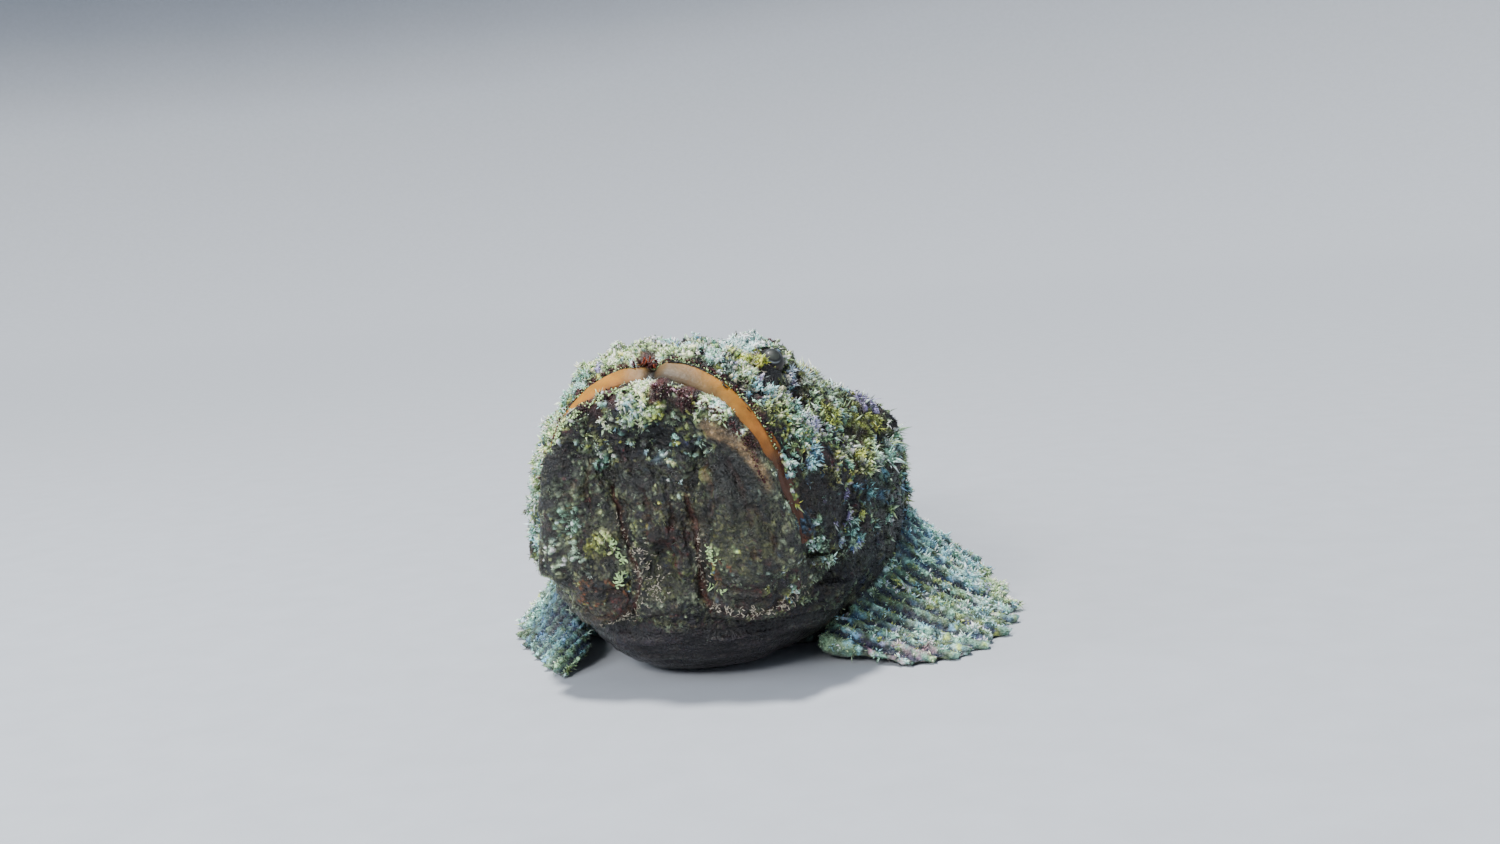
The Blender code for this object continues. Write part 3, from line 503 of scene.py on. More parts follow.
by_belly = (behind > 40) & (np.abs(side) < 34)
broad_fin = fin & (np.abs(side) > 30) & (behind < 120) & (up > 0) & ~by_belly
ray = np.zeros(len(P))
ray_out = np.zeros(len(P))
for sign, fan in ((1, FANS[:, :5]), (-1, FANS[:, [0, 1, 2, 5, 6]])):
    here = broad_fin & (side * sign > 0)
    fan_across, fan_out = fan_place(side[here] * sign, behind[here], fan)
    ray[here] = np.cos(2 * math.pi * fan_across * (FAN_RAYS - 1))
    ray_out[here] = np.clip(fan_out, 0, 1)
upper_face = eased(hide_work.outward[:, 2], -0.1, 0.3)
rows = np.sin(ray_out * KNOB_WAVE + 2.0 * ripple(P, 9, 45)) * (0.5 + 0.5 * ray)
ray_height = broad_fin * upper_face * (0.35 + 0.85 * ray + 0.35 * rows) * eased(ray_out, -0.1, 0.25)

# The skin's relief: lumps, big and small warts and a fine crust, and pores on the smooth jaw. Each
# is as far apart, in mm, as its size says, and as high, in mm, as its height says. The share of
# places left without one is its rarity.
LUMP_SIZES, LUMP_HEIGHTS = (9, 4.5), (0.75, 0.45)
WART_SIZE, WART_RARITY, WART_HEIGHT = 7.5, 0.52, 1.25
SMALL_SIZE, SMALL_RARITY, SMALL_HEIGHT = 3.1, 0.35, 0.75
CRUST_SIZE, CRUST_HEIGHT = 1.55, 0.42
PORE_SIZE, PORE_RARITY, PORE_DEPTH = 2.1, 0.45, 0.5

lumps = sum(h * ripple(P, s, n) for n, (h, s) in enumerate(zip(LUMP_HEIGHTS, LUMP_SIZES), 1))
wart_gap, _, wart_luck = pebbles(P, WART_SIZE, 3)
big_warts = (1 - eased(wart_gap, 0.1, 0.52)) * (wart_luck > WART_RARITY)
small_gap, _, small_luck = pebbles(P, SMALL_SIZE, 9)
small_warts = (1 - eased(small_gap, 0.05, 0.6)) * (small_luck > SMALL_RARITY)
crust_gap, _, crust_luck = pebbles(P, CRUST_SIZE, 17)
crust = 1 - eased(crust_gap, 0.0, 0.75)
warts = WART_HEIGHT * big_warts + SMALL_HEIGHT * small_warts
height = (lumps + warts + CRUST_HEIGHT * crust * (0.4 + crust_luck)) * rough
height += ray_height
height += FIN_ROOT_HEIGHT * spot(side, behind, FIN_ROOT) * eased(up, 0.5, 4) * (up < 24)

crease = np.zeros(len(P))
for path in JAW_CREASES:
    gap = line_gap(side, up, path) + 0.35 * ripple(P, 4, 21)
    crease += 0.8 * bell(gap, 0.6)
    height += (1.3 * bell(gap, 3.0) - 1.2 * bell(gap, 0.7)) * front
for path in JAW_WRINKLES:
    gap = line_gap(side, up, path) + 0.5 * ripple(P, 3, 23)
    crease += 0.4 * bell(gap, 0.5)
    height += (0.4 * bell(gap - 1.4, 0.8) - 0.7 * bell(gap, 0.6)) * front
crease *= jaw_front
for bump_side, bump_up, radius, tall in JAW_BUMPS:
    height += tall * np.exp(-((side - bump_side) ** 2 + (up - bump_up) ** 2) / radius**2) * jaw_front
tan_fold = bell(line_gap(side, up, TAN_FOLD), 1.1 + 0.9 * eased(up, 62, 74)) * jaw_front
tan_fold *= eased(up + 1.5 * ripple(P, 2, 35), 51, 58)
height += 0.6 * tan_fold
folds = 0.40 * ripple(P, 2.4, 31, (0.7, 1, 1.8)) * velvet
height += folds + 0.9 * ripple(P, 6.5, 33, (0.8, 1, 1.3)) * jaw_front
height += 0.45 * ripple(P, 3.4, 34) * jaw_front
pore_gap, _, pore_luck = pebbles(P, PORE_SIZE, 27)
pore = (1 - eased(pore_gap, 0.12, 0.24)) * (pore_luck > PORE_RARITY) * velvet
height -= PORE_DEPTH * pore
streak = ripple(P, 2.0, 37, (4, 4, 0.6))
height += 0.6 * streak * throat
height += 0.5 * bell(from_eye - EYE_REACH - 1.2, 1.0) * ripple(P, 1.4, 41)

# The markings: encrusting growth in mint, cream, moss, lilac and maroon over a dark olive hide. It
# is a mosaic of ragged scraps, each of one colour, in proportions that change over the body, with
# patches at places on the face as in the picture, and painted shade darkening some places. Skin and
# crust take their colour from it alike.

PIT = (0.035, 0.035, 0.045)
PLUM = (0.15, 0.115, 0.165)
UMBER = (0.26, 0.19, 0.13)
MAROON = (0.29, 0.11, 0.12)
RUST = (0.50, 0.30, 0.17)
CREASE_SHADE_RED = (0.34, 0.15, 0.12)
NAVY = (0.10, 0.125, 0.22)
SLATE = (0.34, 0.44, 0.52)
OLIVE = (0.37, 0.38, 0.24)
GREY_GREEN = (0.50, 0.57, 0.43)
MOSS = (0.58, 0.62, 0.32)
YELLOW_GREEN = (0.82, 0.87, 0.40)
LILAC = (0.79, 0.76, 0.96)
SKY = (0.64, 0.87, 0.98)
PINK = (0.80, 0.62, 0.68)
FOLD_TAN = (0.54, 0.44, 0.30)
MINT = (0.72, 0.96, 0.84)
CREAM = (0.86, 1.0, 0.70)
THROAT_SHADE_GREY = (0.15, 0.13, 0.145)
BELLY_GREY = (0.42, 0.40, 0.38)

# Colours from dark to pale, with the share of each over the crown and back, low on the flanks, on
# the lower jaw and on the fins
SCRAPS = (
    (PIT, 0.20, 0.13, 0.19, 0.04),
    (MAROON, 0.07, 0.06, 0.06, 0.0),
    (PLUM, 0.05, 0.18, 0.09, 0.03),
    (NAVY, 0.02, 0.04, 0.05, 0.06),
    (UMBER, 0.07, 0.15, 0.11, 0.05),
    (OLIVE, 0.08, 0.16, 0.14, 0.09),
    (GREY_GREEN, 0.09, 0.20, 0.15, 0.18),
    (MOSS, 0.08, 0.03, 0.07, 0.09),
    (SLATE, 0.02, 0.01, 0.02, 0.08),
    (YELLOW_GREEN, 0.05, 0.0, 0.02, 0.03),
    (LILAC, 0.04, 0.0, 0.0, 0.03),
    (SKY, 0.04, 0.0, 0.01, 0.08),
    (MINT, 0.10, 0.04, 0.07, 0.20),
    (CREAM, 0.17, 0.02, 0.06, 0.12),
)

# Blots along the lips: the angle round the mouth, half their length in radians, 1 on the upper lip
# or -1 on the lower, how far from the band they reach in mm, and their colour
LIP_BLOTS = (
    (-0.62, 0.05, 1, 1.3, PIT),
    (-0.48, 0.045, 1, 1.5, MAROON),
    (-0.36, 0.04, 1, 1.2, PIT),
    (-0.235, 0.05, 1, 1.4, UMBER),
    (-0.07, 0.06, 1, 3.2, MAROON),
    (0.115, 0.045, 1, 1.4, PIT),
    (0.36, 0.09, 1, 1.4, PIT),
    (0.52, 0.035, 1, 1.2, MAROON),
    (0.655, 0.08, 1, 1.5, PIT),
    (0.86, 0.05, 1, 1.4, MAROON),
    (1.04, 0.07, 1, 1.6, PIT),
    (-0.50, 0.05, -1, 3.2, MAROON),
    (-0.31, 0.06, -1, 3.4, MAROON),
    (0.12, 0.06, -1, 3.4, MAROON),
    (0.38, 0.06, -1, 3.6, MAROON),
    (0.80, 0.05, -1, 2.6, PIT),
    (0.98, 0.06, -1, 3.0, UMBER),
)

# Each patch: side, behind and up in mm, its radius in mm, how full it is, and its colour
FACE_PATCHES = (
    (0, 12, 92, 9, 0.62, CREAM),
    (-14, 10, 90, 9, 0.7, CREAM),
    (-24, 9, 82, 7, 0.6, MINT),
    (-31, 9, 72, 7, 0.65, CREAM),
    (-36, 9, 60, 7, 0.6, CREAM),
    (-37, 9, 48, 7, 0.55, SLATE),
    (-36, 10, 38, 6, 0.55, CREAM),
    (19, 30, 92, 7, 0.95, (0.80, 0.98, 0.97)),
    (14, 14, 89, 5, 0.85, MINT),
    (22, 15, 84, 5, 0.85, CREAM),
    (29, 17, 76, 5.5, 0.9, CREAM),
    (10, 10, 90, 4, 0.8, CREAM),
    (18, 11, 86.5, 3.5, 0.9, (0.84, 0.98, 0.92)),
    (32.5, 14, 70.5, 3, 0.85, CREAM),
    (35, 18, 67, 5, 0.9, MINT),
    (25, 22, 89, 3.8, 0.95, (0.80, 0.84, 0.30)),
    (30, 19, 81.5, 5.5, 0.95, PIT),
    (25.5, 20, 84.5, 3, 0.85, PIT),
    (35, 31, 79, 3.2, 0.85, MAROON),
    (41, 17, 63, 2.6, 0.95, SKY),
    (39, 24, 70, 2.8, 0.85, LILAC),
    (44, 38, 71, 6, 0.55, MOSS),
    (43, 24, 62, 4, 0.8, MAROON),
    (49, 52, 67, 7, 0.5, MOSS),
    (48, 60, 72, 4, 0.6, LILAC),
    (54, 67, 63, 4, 0.85, PIT),
    (46, 30, 47, 10, 0.5, PLUM),
    (48, 30, 39, 3, 0.8, MINT),
    (40, 16, 52, 6, 0.7, UMBER),
    (37, 12, 45, 3.5, 0.85, SLATE),
    (39, 10, 41.5, 2.4, 0.95, RUST),
    # Painted shade: dark navy low on the cheek above the fin's root
    (48, 44, 26, 12, 0.6, NAVY),
    (-0.4, -2, 81.8, 6.2, 0.97, CREAM),
    (2.5, -2, 80.5, 4, 0.5, (0.86, 0.96, 0.56)),
    (-2.6, -2, 79.8, 3.2, 0.9, (0.78, 0.98, 0.98)),
    (-22.2, 4, 75.5, 3.6, 0.85, CREAM),
    (-20, 2, 70, 4, 0.5, MOSS),
    (17.4, 1, 77.5, 5.0, 0.95, CREAM),
    (19.5, 1, 78.5, 2.6, 0.8, MINT),
    # Partly the jaw's own dark colour, partly painted shade in the jaw's hollow
    (1.8, -2, 70.5, 4.0, 0.9, PIT),
    (-7, -2, 70, 4.5, 0.4, PLUM),
    (9, -2, 70, 3.5, 0.6, NAVY),
    (26.3, 0, 60.4, 1.8, 0.9, MINT),
    (-14, 0, 65, 2.2, 0.6, MINT),
    (-22, 0, 60, 6, 0.5, GREY_GREEN),
    (-25, 2, 50, 5, 0.5, MINT),
    (18, 0, 54, 6, 0.5, UMBER),
    (23, -1, 43, 9, 0.7, OLIVE),
    (3, 1, 42, 5, 0.45, MAROON),
    (-1, 1, 50, 5, 0.6, UMBER),
    (-16, 0, 43, 3.5, 0.6, CREAM),
    (-18, 0, 42, 3.5, 0.55, MOSS),
    (-20, 4, 28, 7, 0.4, RUST),
    (-13, 4, 25, 4, 0.6, MAROON),
    (0, 4, 32, 6, 0.85, OLIVE),
    (16, 2, 34, 4, 0.4, RUST),
    (14.4, 0, 39.7, 2.4, 0.85, CREAM),
    (22, 5, 25, 7, 0.5, MAROON),
    (32, 9, 26, 6, 0.45, MAROON),
    (36, 31, 9, 9, 0.8, GREY_GREEN),
)
FIN_PATCHES = (
    (57, 80, 32, 18, 0.55, MINT),
    (66, 95, 15, 18, 0.5, SKY),
    (60, 60, 14, 10, 0.2, MOSS),
    (82, 99, 2, 12, 0.8, CREAM),
    (62, 34, 4, 6, 0.5, PINK),
    (52, 29, 3, 5, 0.4, PINK),
    (40, 33, 6, 8, 0.7, GREY_GREEN),
    # Painted shade: dark navy on the fish's right fin near the body
    (-46, 50, 16, 10, 0.6, NAVY),
    (-64, 66, 8, 9, 0.8, MINT),
    (-48, 38, 4, 6, 0.7, MINT),
    (-39, 24, 3, 4, 0.85, CREAM),
)
SOFTENING = 0.3

# Places that are darker, paler or of another tint than the rest: side, behind and up in mm, radius
# in mm, and how many times as much red, green and blue there is. Most of the darker places are
# painted shade: in the jaw's hollows, on the cheeks beside the fins and on the fins near the body.
SHADE_AND_TINT_SPOTS = (
    (2.2, -2, 70.5, 4.6, (0.34, 0.32, 0.44)),
    (-8, -2, 70, 5, (0.7, 0.68, 0.74)),
    (11, -2, 65, 6, (0.85, 0.9, 0.85)),
    (20.5, -2, 60.5, 7.5, (0.2, 0.2, 0.28)),
    (26, -2, 54, 6, (0.36, 0.36, 0.44)),
    (-6, 0, 59, 6, (0.7, 0.68, 0.75)),
    (9.5, -1, 47, 7, (0.66, 0.52, 0.52)),
    (2, -1, 44, 5, (0.72, 0.58, 0.56)),
    (-11, 2, 50, 3, (0.7, 0.55, 0.55)),
    (13, 0, 46, 2.6, (0.4, 0.4, 0.45)),
    (-25, 0, 63, 6, (0.6, 0.6, 0.66)),
    (24, 0, 44, 10, (0.78, 0.76, 0.76)),
    (-17, 0, 43, 4, (1.15, 1.05, 0.8)),
    (-3, 3, 33, 6, (0.68, 0.66, 0.68)),
    (20, 4, 25, 11, (0.5, 0.46, 0.5)),
    (-20, 4, 26, 8, (0.85, 0.72, 0.7)),
    (45, 20, 46, 10, (0.5, 0.46, 0.48)),
    (42, 16, 56, 6, (0.75, 0.7, 0.72)),
    (46, 36, 30, 12, (0.6, 0.62, 0.75)),
    (54, 72, 34, 12, (0.32, 0.38, 0.66)),
    (52, 50, 46, 9, (0.6, 0.66, 0.88)),
    (-48, 52, 16, 16, (0.24, 0.3, 0.54)),
    (-58, 54, 10, 14, (0.5, 0.57, 0.74)),
    (-40, 32, 12, 14, (0.42, 0.48, 0.64)),
    (53, 42, 8, 10, (0.85, 0.85, 0.9)),
)

# Round knobs on the jaw, each of one colour: side and up in mm, radius in mm, and colour
KNOBS = (
    (14.8, 60.4, 2.1, (0.60, 0.62, 0.38)),
    (1.3, 64.8, 1.7, (0.46, 0.55, 0.60)),
    (-2.0, 69.5, 1.1, (0.44, 0.42, 0.44)),
)

# How much stronger the contrast is made at last, and the brightness that goes with it
CONTRAST = 1.22
BRIGHTNESS = 1.13

# The tints that the pale growth takes, one for each stretch of it, and how grey the growth is on
# the lower jaw and low on the flanks
FIELDS = np.array((CREAM, MINT, CREAM, YELLOW_GREEN, CREAM, SKY, MOSS, LILAC, CREAM, MINT))
FIELD_SIZE = 8.0
GREYING = 0.5


def laid_over(colour, paint, share):
    """The colours with this share of another laid over them."""
    return colour + (np.array(paint) - colour) * np.clip(share, 0, 1)[:, None]


def growth(points, zone):
    """The colours of the growth at these points. Zone holds, for each, the shares of being on the
    low flanks, the lower jaw and a fin, of being velvety, and of being throat or belly."""
    warped = points + MM * np.stack(
        [1.1 * ripple(points, 2.6, 50 + k) + 0.55 * ripple(points, 1.1, 55 + k) for k in range(3)], 1
    )
    tone = 0.5 + 0.42 * ripple(points, 14, 60) + 0.25 * ripple(points, 6, 61)
    shares = np.array([row[1:] for row in SCRAPS]).T
    low, on_jaw, on_fin = zone["low"], zone["jaw"], zone["fin"]
    top = np.clip(1 - low - on_jaw - on_fin, 0, 1)
    mixed = top[:, None] * shares[0] + low[:, None] * shares[1]
    mixed = mixed + on_jaw[:, None] * shares[2] + on_fin[:, None] * shares[3]
    limits = np.cumsum(mixed, axis=1)
    limits /= limits[:, -1:]
    paints = np.array([row[0] for row in SCRAPS])
    colour = np.zeros((len(points), 3))
    placed = np.zeros(len(points), bool)
    average = mixed @ paints / mixed.sum(axis=1)[:, None]
    place = (points - np.array(at(0, 0, 0))) / MM
    for size, seed, weight in ((4.0, 70, 1.0), (2.0, 75, 0.4), (1.1, 80, 0.2)):
        _, edge, own = pebbles(warped, size, seed)
        luck = np.clip(0.72 * own + 0.28 * tone, 0, 0.999)
        pick = np.minimum((luck[:, None] > limits).sum(axis=1), len(paints) - 1)
        scrap = paints[pick]
        for number, (x, y, z, radius, full, paint) in enumerate(FACE_PATCHES + FIN_PATCHES):
            right_kind = on_fin > 0.5 if number >= len(FACE_PATCHES) else on_fin < 0.1
            away = np.linalg.norm(place - np.array((x, y, z)), axis=1) / radius
            chance = full * (1 - eased(away, 0.7, 1.3))
            taken = right_kind & ((own * 37.7 + number * 0.618) % 1 < chance)
            scrap = np.where(taken[:, None], np.array(paint), scrap)
            placed |= taken
        covers = (own * 91.3 % 1) < weight
        colour = np.where(covers[:, None], scrap, colour)
        colour = colour * (1 - 0.6 * (1 - eased(edge, 0.0, 0.2)) * covers)[:, None]
    _, _, field = pebbles(warped, FIELD_SIZE, 88)
    tint = FIELDS[(field * len(FIELDS)).astype(int)]
    light = colour.mean(axis=1)
    tint = tint * (light / tint.mean(axis=1))[:, None]
    tinted = 0.65 * eased(light, 0.35, 0.6) * (1 - on_fin) * (1 - 0.8 * low - 0.6 * on_jaw) * (~placed)
    colour = colour + (tint - colour) * tinted[:, None]
    grey = light[:, None] * np.array((1.0, 1.02, 0.95))
    greyed = GREYING * np.clip(on_jaw + 0.6 * low, 0, 1) * (~placed)
    colour = colour + (grey - colour) * greyed[:, None]
    _, fleck_edge, fleck = pebbles(warped, 0.8, 85)
    spread_out = 0.85 + 0.4 * on_jaw
    flecked = (1 - spread_out / 2 + spread_out * fleck) * (0.7 + 0.3 * eased(fleck_edge, 0.0, 0.2))
    colour = colour * (flecked + (1 - flecked) * 0.2 * on_fin)[:, None]
    for turn, half_length, lip, reach, paint in LIP_BLOTS:
        near = np.exp(-(((zone["angle"] - turn) / half_length) ** 4)) * (zone["lip"] * lip > 0)
        near *= 1 - eased(np.abs(zone["lip"]) + 0.5 * ripple(points, 1.6, 65), reach + 0.3, reach + 1.2)
        colour = laid_over(colour, paint, 0.93 * near)
    # Painted shade and tint: the darker, paler and tinted places of the table
    for x, y, z, radius, times in SHADE_AND_TINT_SPOTS:
        away = np.linalg.norm(place - np.array((x, y, z)), axis=1)
        colour = colour * (1 + (np.array(times) - 1) * bell(away, radius)[:, None])
    for x, z, radius, paint in KNOBS:
        away = np.hypot(place[:, 0] - x, place[:, 2] - z) / radius
        colour = laid_over(colour, paint, 0.85 * np.exp(-(away**4)) * on_jaw)
    colour = colour + (average - colour) * (SOFTENING * (zone["velvet"] + 0.4 * on_fin))[:, None]
    # Partly painted shade: the throat under the jaw is laid over with dark grey
    colour = laid_over(colour, THROAT_SHADE_GREY, 0.8 * zone["throat"])
    colour = laid_over(colour, BELLY_GREY, 0.8 * zone["belly"])
    return BRIGHTNESS * colour**CONTRAST


# Stretches of the back where the growth is as thin and dark as low on the flanks
bare = 0.9 * eased(ripple(P, 24, 49) + 0.6 * ripple(P, 10, 47), -0.05, 0.3) * eased(behind, 38, 70)
zone = {
    "low": np.maximum(1 - eased(up + 6 * ripple(P, 12, 48), 22, 46), bare) * (~fin) * (1 - jaw_front),
    "jaw": jaw_front * (1 - 0.6 * eased(up, 64, 80)),
    "fin": np.where(broad_fin, 1.0, 0.35 * fin),
    "velvet": velvet,
    "throat": throat,
    "belly": under * (1 - throat),
    "angle": angle,
    "lip": np.where(
        (spread < BEYOND_MOUTH) & (front > 0.5), np.sign(spread) * (np.abs(spread) - LIP_EDGE), FAR
    ),
}
colour = growth(P, zone)
colour = laid_over(colour, FOLD_TAN, 1.3 * tan_fold * (0.2 + 0.8 * eased(up, 52, 65)))
lip_line = 0.85 * bell(np.abs(np.abs(spread) - LIP_RIM), 0.55) * front
colour = laid_over(colour, PIT, lip_line * (spread > 0) * (spread < BEYOND_MOUTH))
paleness = colour.mean(axis=1)
height += 1.7 * (paleness - 0.45) * np.clip(rough + 0.1, 0, 1) * (~fin)
hide_work.raise_by(height)
hide_work.points[:, 2] = np.maximum(hide_work.points[:, 2], FLOOR_REST)
hide_work.refresh()
P = hide_work.points

relief = crust * (0.4 + crust_luck) + 0.8 * small_warts + 0.6 * big_warts
# Painted shade: the skin is darker between its grains and warts where it is rough, and paler where it is
# smooth and where the growth is pale
relief_shade = 0.50 + 0.45 * np.clip(relief, 0, 1.6) * np.clip(rough + 0.25, 0, 1) + 0.40 * (1 - rough)
relief_shade = np.minimum(relief_shade + 0.3 * eased(paleness, 0.5, 0.9), 1.15)
# Painted shade and highlight on the broad fins: the web between the rays is darkened towards navy as
# painted shade, and the ray ridges are paled towards mint, partly their own paler colour and partly
# painted highlight
groove_shade = np.where(broad_fin & (upper_face > 0.3), 1 - eased(0.7 * ray + 0.3 * rows, -0.7, 0.5), 0)
# Painted shade: the jaw's creases and wrinkles are darkened to a dark maroon
skin_colour = laid_over(colour * relief_shade[:, None], CREASE_SHADE_RED, 0.75 * np.clip(crease, 0, 1))
ridge = broad_fin * eased(0.7 * ray + 0.3 * rows, -0.1, 0.7)
skin_colour = laid_over(skin_colour, NAVY, 0.85 * groove_shade)
skin_colour = laid_over(skin_colour, MINT, 0.35 * ridge)
skin_colour = laid_over(skin_colour, PIT, 0.85 * pore)
skin_colour *= 1 + 0.5 * (streak * throat)[:, None]
skin_colour = np.clip(skin_colour, 0.012, 0.97)


def linear(paint):
    """Colours as light, from colours as a screen shows them."""
    paint = np.asarray(paint, float)
    return np.where(paint <= 0.04045, paint / 12.92, ((paint + 0.055) / 1.055) ** 2.4)


def painted(mesh, paint):
    """Stores a colour for each point of the mesh, under the name that the materials read."""
    layer = mesh.color_attributes.new("marks", "FLOAT_COLOR", "POINT")
    flat = np.ones((len(mesh.vertices), 4), np.float32)
    flat[:, :3] = linear(paint)
    layer.data.foreach_set("color", flat.ravel())


painted(skin_mesh, skin_colour)


class Finish:
    """A material of plain nodes, with short names for the links a surface here needs."""

    def __init__(self, name, roughness):
        self.material = bpy.data.materials.new(name)
        self.material.use_nodes = True
        self.tree = self.material.node_tree
        self.shader = self.tree.nodes["Principled BSDF"]
        self.set(Roughness=roughness)

    def set(self, **sockets):
        for socket, value in sockets.items():
            self.shader.inputs[socket.replace("_", " ")].default_value = value

    def node(self, kind, **inputs):
        made = self.tree.nodes.new(kind)
        for socket, value in inputs.items():
            name = socket.replace("_", " ")
            if isinstance(value, bpy.types.NodeSocket):
                self.tree.links.new(value, made.inputs[name])
            else:
                made.inputs[name].default_value = value
        return made

    def marks(self):
        """The colours stored with the mesh."""
        read = self.tree.nodes.new("ShaderNodeAttribute")
        read.attribute_name = "marks"
        return read.outputs["Color"]

    def place(self):
        return self.tree.nodes.new("ShaderNodeTexCoord").outputs["Object"]

    def grain(self, scale, detail=3.0, roughness=0.6):
        return self.node(
            "ShaderNodeTexNoise", Vector=self.place(), Scale=scale, Detail=detail, Roughness=roughness
        ).outputs["Fac"]

    def cells(self, scale):
        return self.node("ShaderNodeTexVoronoi", Vector=self.place(), Scale=scale).outputs["Distance"]

    def uneven(self, scale, low, high, to_low, to_high):
        """A number that varies over the surface between the last two, in blotches of this scale."""
        ends = {"From_Min": low, "From_Max": high, "To_Min": to_low, "To_Max": to_high}
        return self.node("ShaderNodeMapRange", Value=self.grain(scale), **ends).outputs["Result"]

    def worked_out(self, kind, operation, first, second, socket):
        made = self.tree.nodes.new(kind)
        made.operation = operation
        self.tree.links.new(first, made.inputs[0])
        self.tree.links.new(second, made.inputs[socket])
        return made.outputs[0]

    def times(self, first, second):
        return self.worked_out("ShaderNodeMath", "MULTIPLY", first, second, 1)

    def wire(self, value, socket):
        self.tree.links.new(value, self.shader.inputs[socket])

    def paint(self, colour, value):
        """Gives the surface a colour, made darker or paler by a number."""
        self.wire(self.worked_out("ShaderNodeVectorMath", "SCALE", colour, value, "Scale"), "Base Color")

    def relief(self, value, depth, strength=1.0):
        """Adds fine bumps on top of those that the surface already has."""
        made = self.node("ShaderNodeBump", Height=value, Distance=depth, Strength=strength)
        before = self.shader.inputs["Normal"].links
        if before:
            self.tree.links.new(before[0].from_socket, made.inputs["Normal"])
        self.wire(made.outputs["Normal"], "Normal")


hide_finish = Finish("warty_hide", 0.6)
speckle = hide_finish.uneven(1600, 0.35, 0.65, 0.55, 1.45)
blotch = hide_finish.uneven(420, 0.3, 0.7, 0.75, 1.25)
hide_finish.paint(hide_finish.marks(), hide_finish.times(speckle, blotch))
hide_finish.wire(hide_finish.uneven(700, 0.3, 0.7, 0.2, 0.55), "Roughness")
hide_finish.relief(hide_finish.grain(900, 5.0), 0.8 * MM)
hide_finish.relief(hide_finish.cells(1100), 0.5 * MM, 0.7)
hide_finish.set(Specular_IOR_Level=0.45, Subsurface_Weight=0.06, Subsurface_Scale=1.5 * MM)

SKIN_TRIANGLES = 192000
KEPT_GROUP = "kept"

skin_mesh.calc_loop_triangles()
triangles = values(skin_mesh.loop_triangles, "vertices", 3, np.int32)
kept = skin.vertex_groups.new(name=KEPT_GROUP)
worth = np.clip(0.35 + 0.65 * (behind < FACE_DEPTH) + 0.15 * fin - 0.35 * under, 0.05, 1)
for level in range(1, 11):
    kept.add(np.flatnonzero(np.round(worth * 10) == level).tolist(), level / 10, "REPLACE")
fewer = skin.modifiers.new("Fewer faces", "DECIMATE")
fewer.ratio = min(1.0, SKIN_TRIANGLES / len(triangles))
fewer.vertex_group = KEPT_GROUP
fewer.invert_vertex_group = True
fewer.vertex_group_factor = 1.0
thinned = bpy.data.meshes.new_from_object(skin.evaluated_get(bpy.context.evaluated_depsgraph_get()))
skin.modifiers.clear()
skin.vertex_groups.clear()
skin.data = thinned
thinned.name = "skin"

thinned.materials.clear()
thinned.materials.append(hide_finish.material)
thinned.shade_smooth()
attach(skin, "root")
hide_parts(*flesh)

# The crust: tufts of weedy filaments, granules and small leafy flaps that grow on the live fish.
# Each is a closed spindle of six faces, thick or thin to suit, rooted in the skin and dark below
# with a pale tip. Tufts are smallest on the jaw and leave the belly, eyes and lips bare.

TUFT_COUNT = 42000
CRUST_SEED = 5
SPINDLES_PER_PIECE = 31000
UNWRAP_PATCH = 0.003
UNWRAP_LENGTH = 330
# A tuft's spindles are granules or hairs: how many there are, their lengths and half widths in mm,
# how flat a granule is, how far their roots lie in the skin, in mm, and how much they bend
PER_TUFT = (4, 6)
GRAIN_LENGTH, GRAIN_WIDTH, GRAIN_FLATNESS = (0.6, 1.3), (0.14, 0.30), (0.3, 0.9)
HAIR_LENGTH, HAIR_WIDTH = (0.8, 1.6), (0.08, 0.14)
BURIED = 0.3
BENDING, DROOP = 0.28, (0, 0.08, -0.12)
TIP_TINT = (0.87, 0.98, 0.86)
LEAN = np.array((0.0, 0.22, -0.12))

draw = np.random.default_rng(CRUST_SEED)
corner = P[triangles]
area = np.linalg.norm(np.cross(corner[:, 1] - corner[:, 0], corner[:, 2] - corner[:, 0]), axis=1) / 2

wanted = np.clip(0.45 + 0.9 * relief, 0, 2) * np.clip(rough, 0.0, 1) * (0.35 + 1.3 * paleness)
wanted *= (0.6 + 0.9 * (1 - eased(behind, 30, 70))) * eased(from_eye, EYE_REACH + 0.3, EYE_REACH + 2.5)
wanted = np.where(jaw_front > 0.5, 0.45 + 1.0 * paleness, wanted) * (1 - 0.4 * smooth_spot)
wanted *= 1 - 0.9 * pore
wanted *= (1 - 0.9 * np.clip(crease, 0, 1)) * np.clip(1 - 1.7 * tan_fold, 0, 1)
wanted *= eased(np.abs(spread) - half_open, 0.2, 1.2) * 0.9 + 0.1
near_lip = (spread > 0) & (spread < 5.5) & (paleness < 0.3)
wanted *= np.where(near_lip & (front > 0.5), 0.25, 1.0)
wanted = np.where(fin, (0.25 + 0.9 * eased(ray, -0.4, 0.8)) * (hide_work.outward[:, 2] > -0.2), wanted)
wanted *= (1 - under) * eased(up, 0.5, 2.5)
chance = area * wanted[triangles].mean(axis=1)
chosen = draw.choice(len(triangles), TUFT_COUNT, p=chance / chance.sum())
share = draw.dirichlet((1, 1, 1), TUFT_COUNT)


def across(quantity):
    """A quantity of the skin's points, read where each tuft is rooted."""
    picked = quantity[triangles[chosen]]
    return np.einsum("tk,tk...->t...", share, picked)


def unit(vectors):
    return vectors / np.linalg.norm(vectors, axis=-1, keepdims=True)


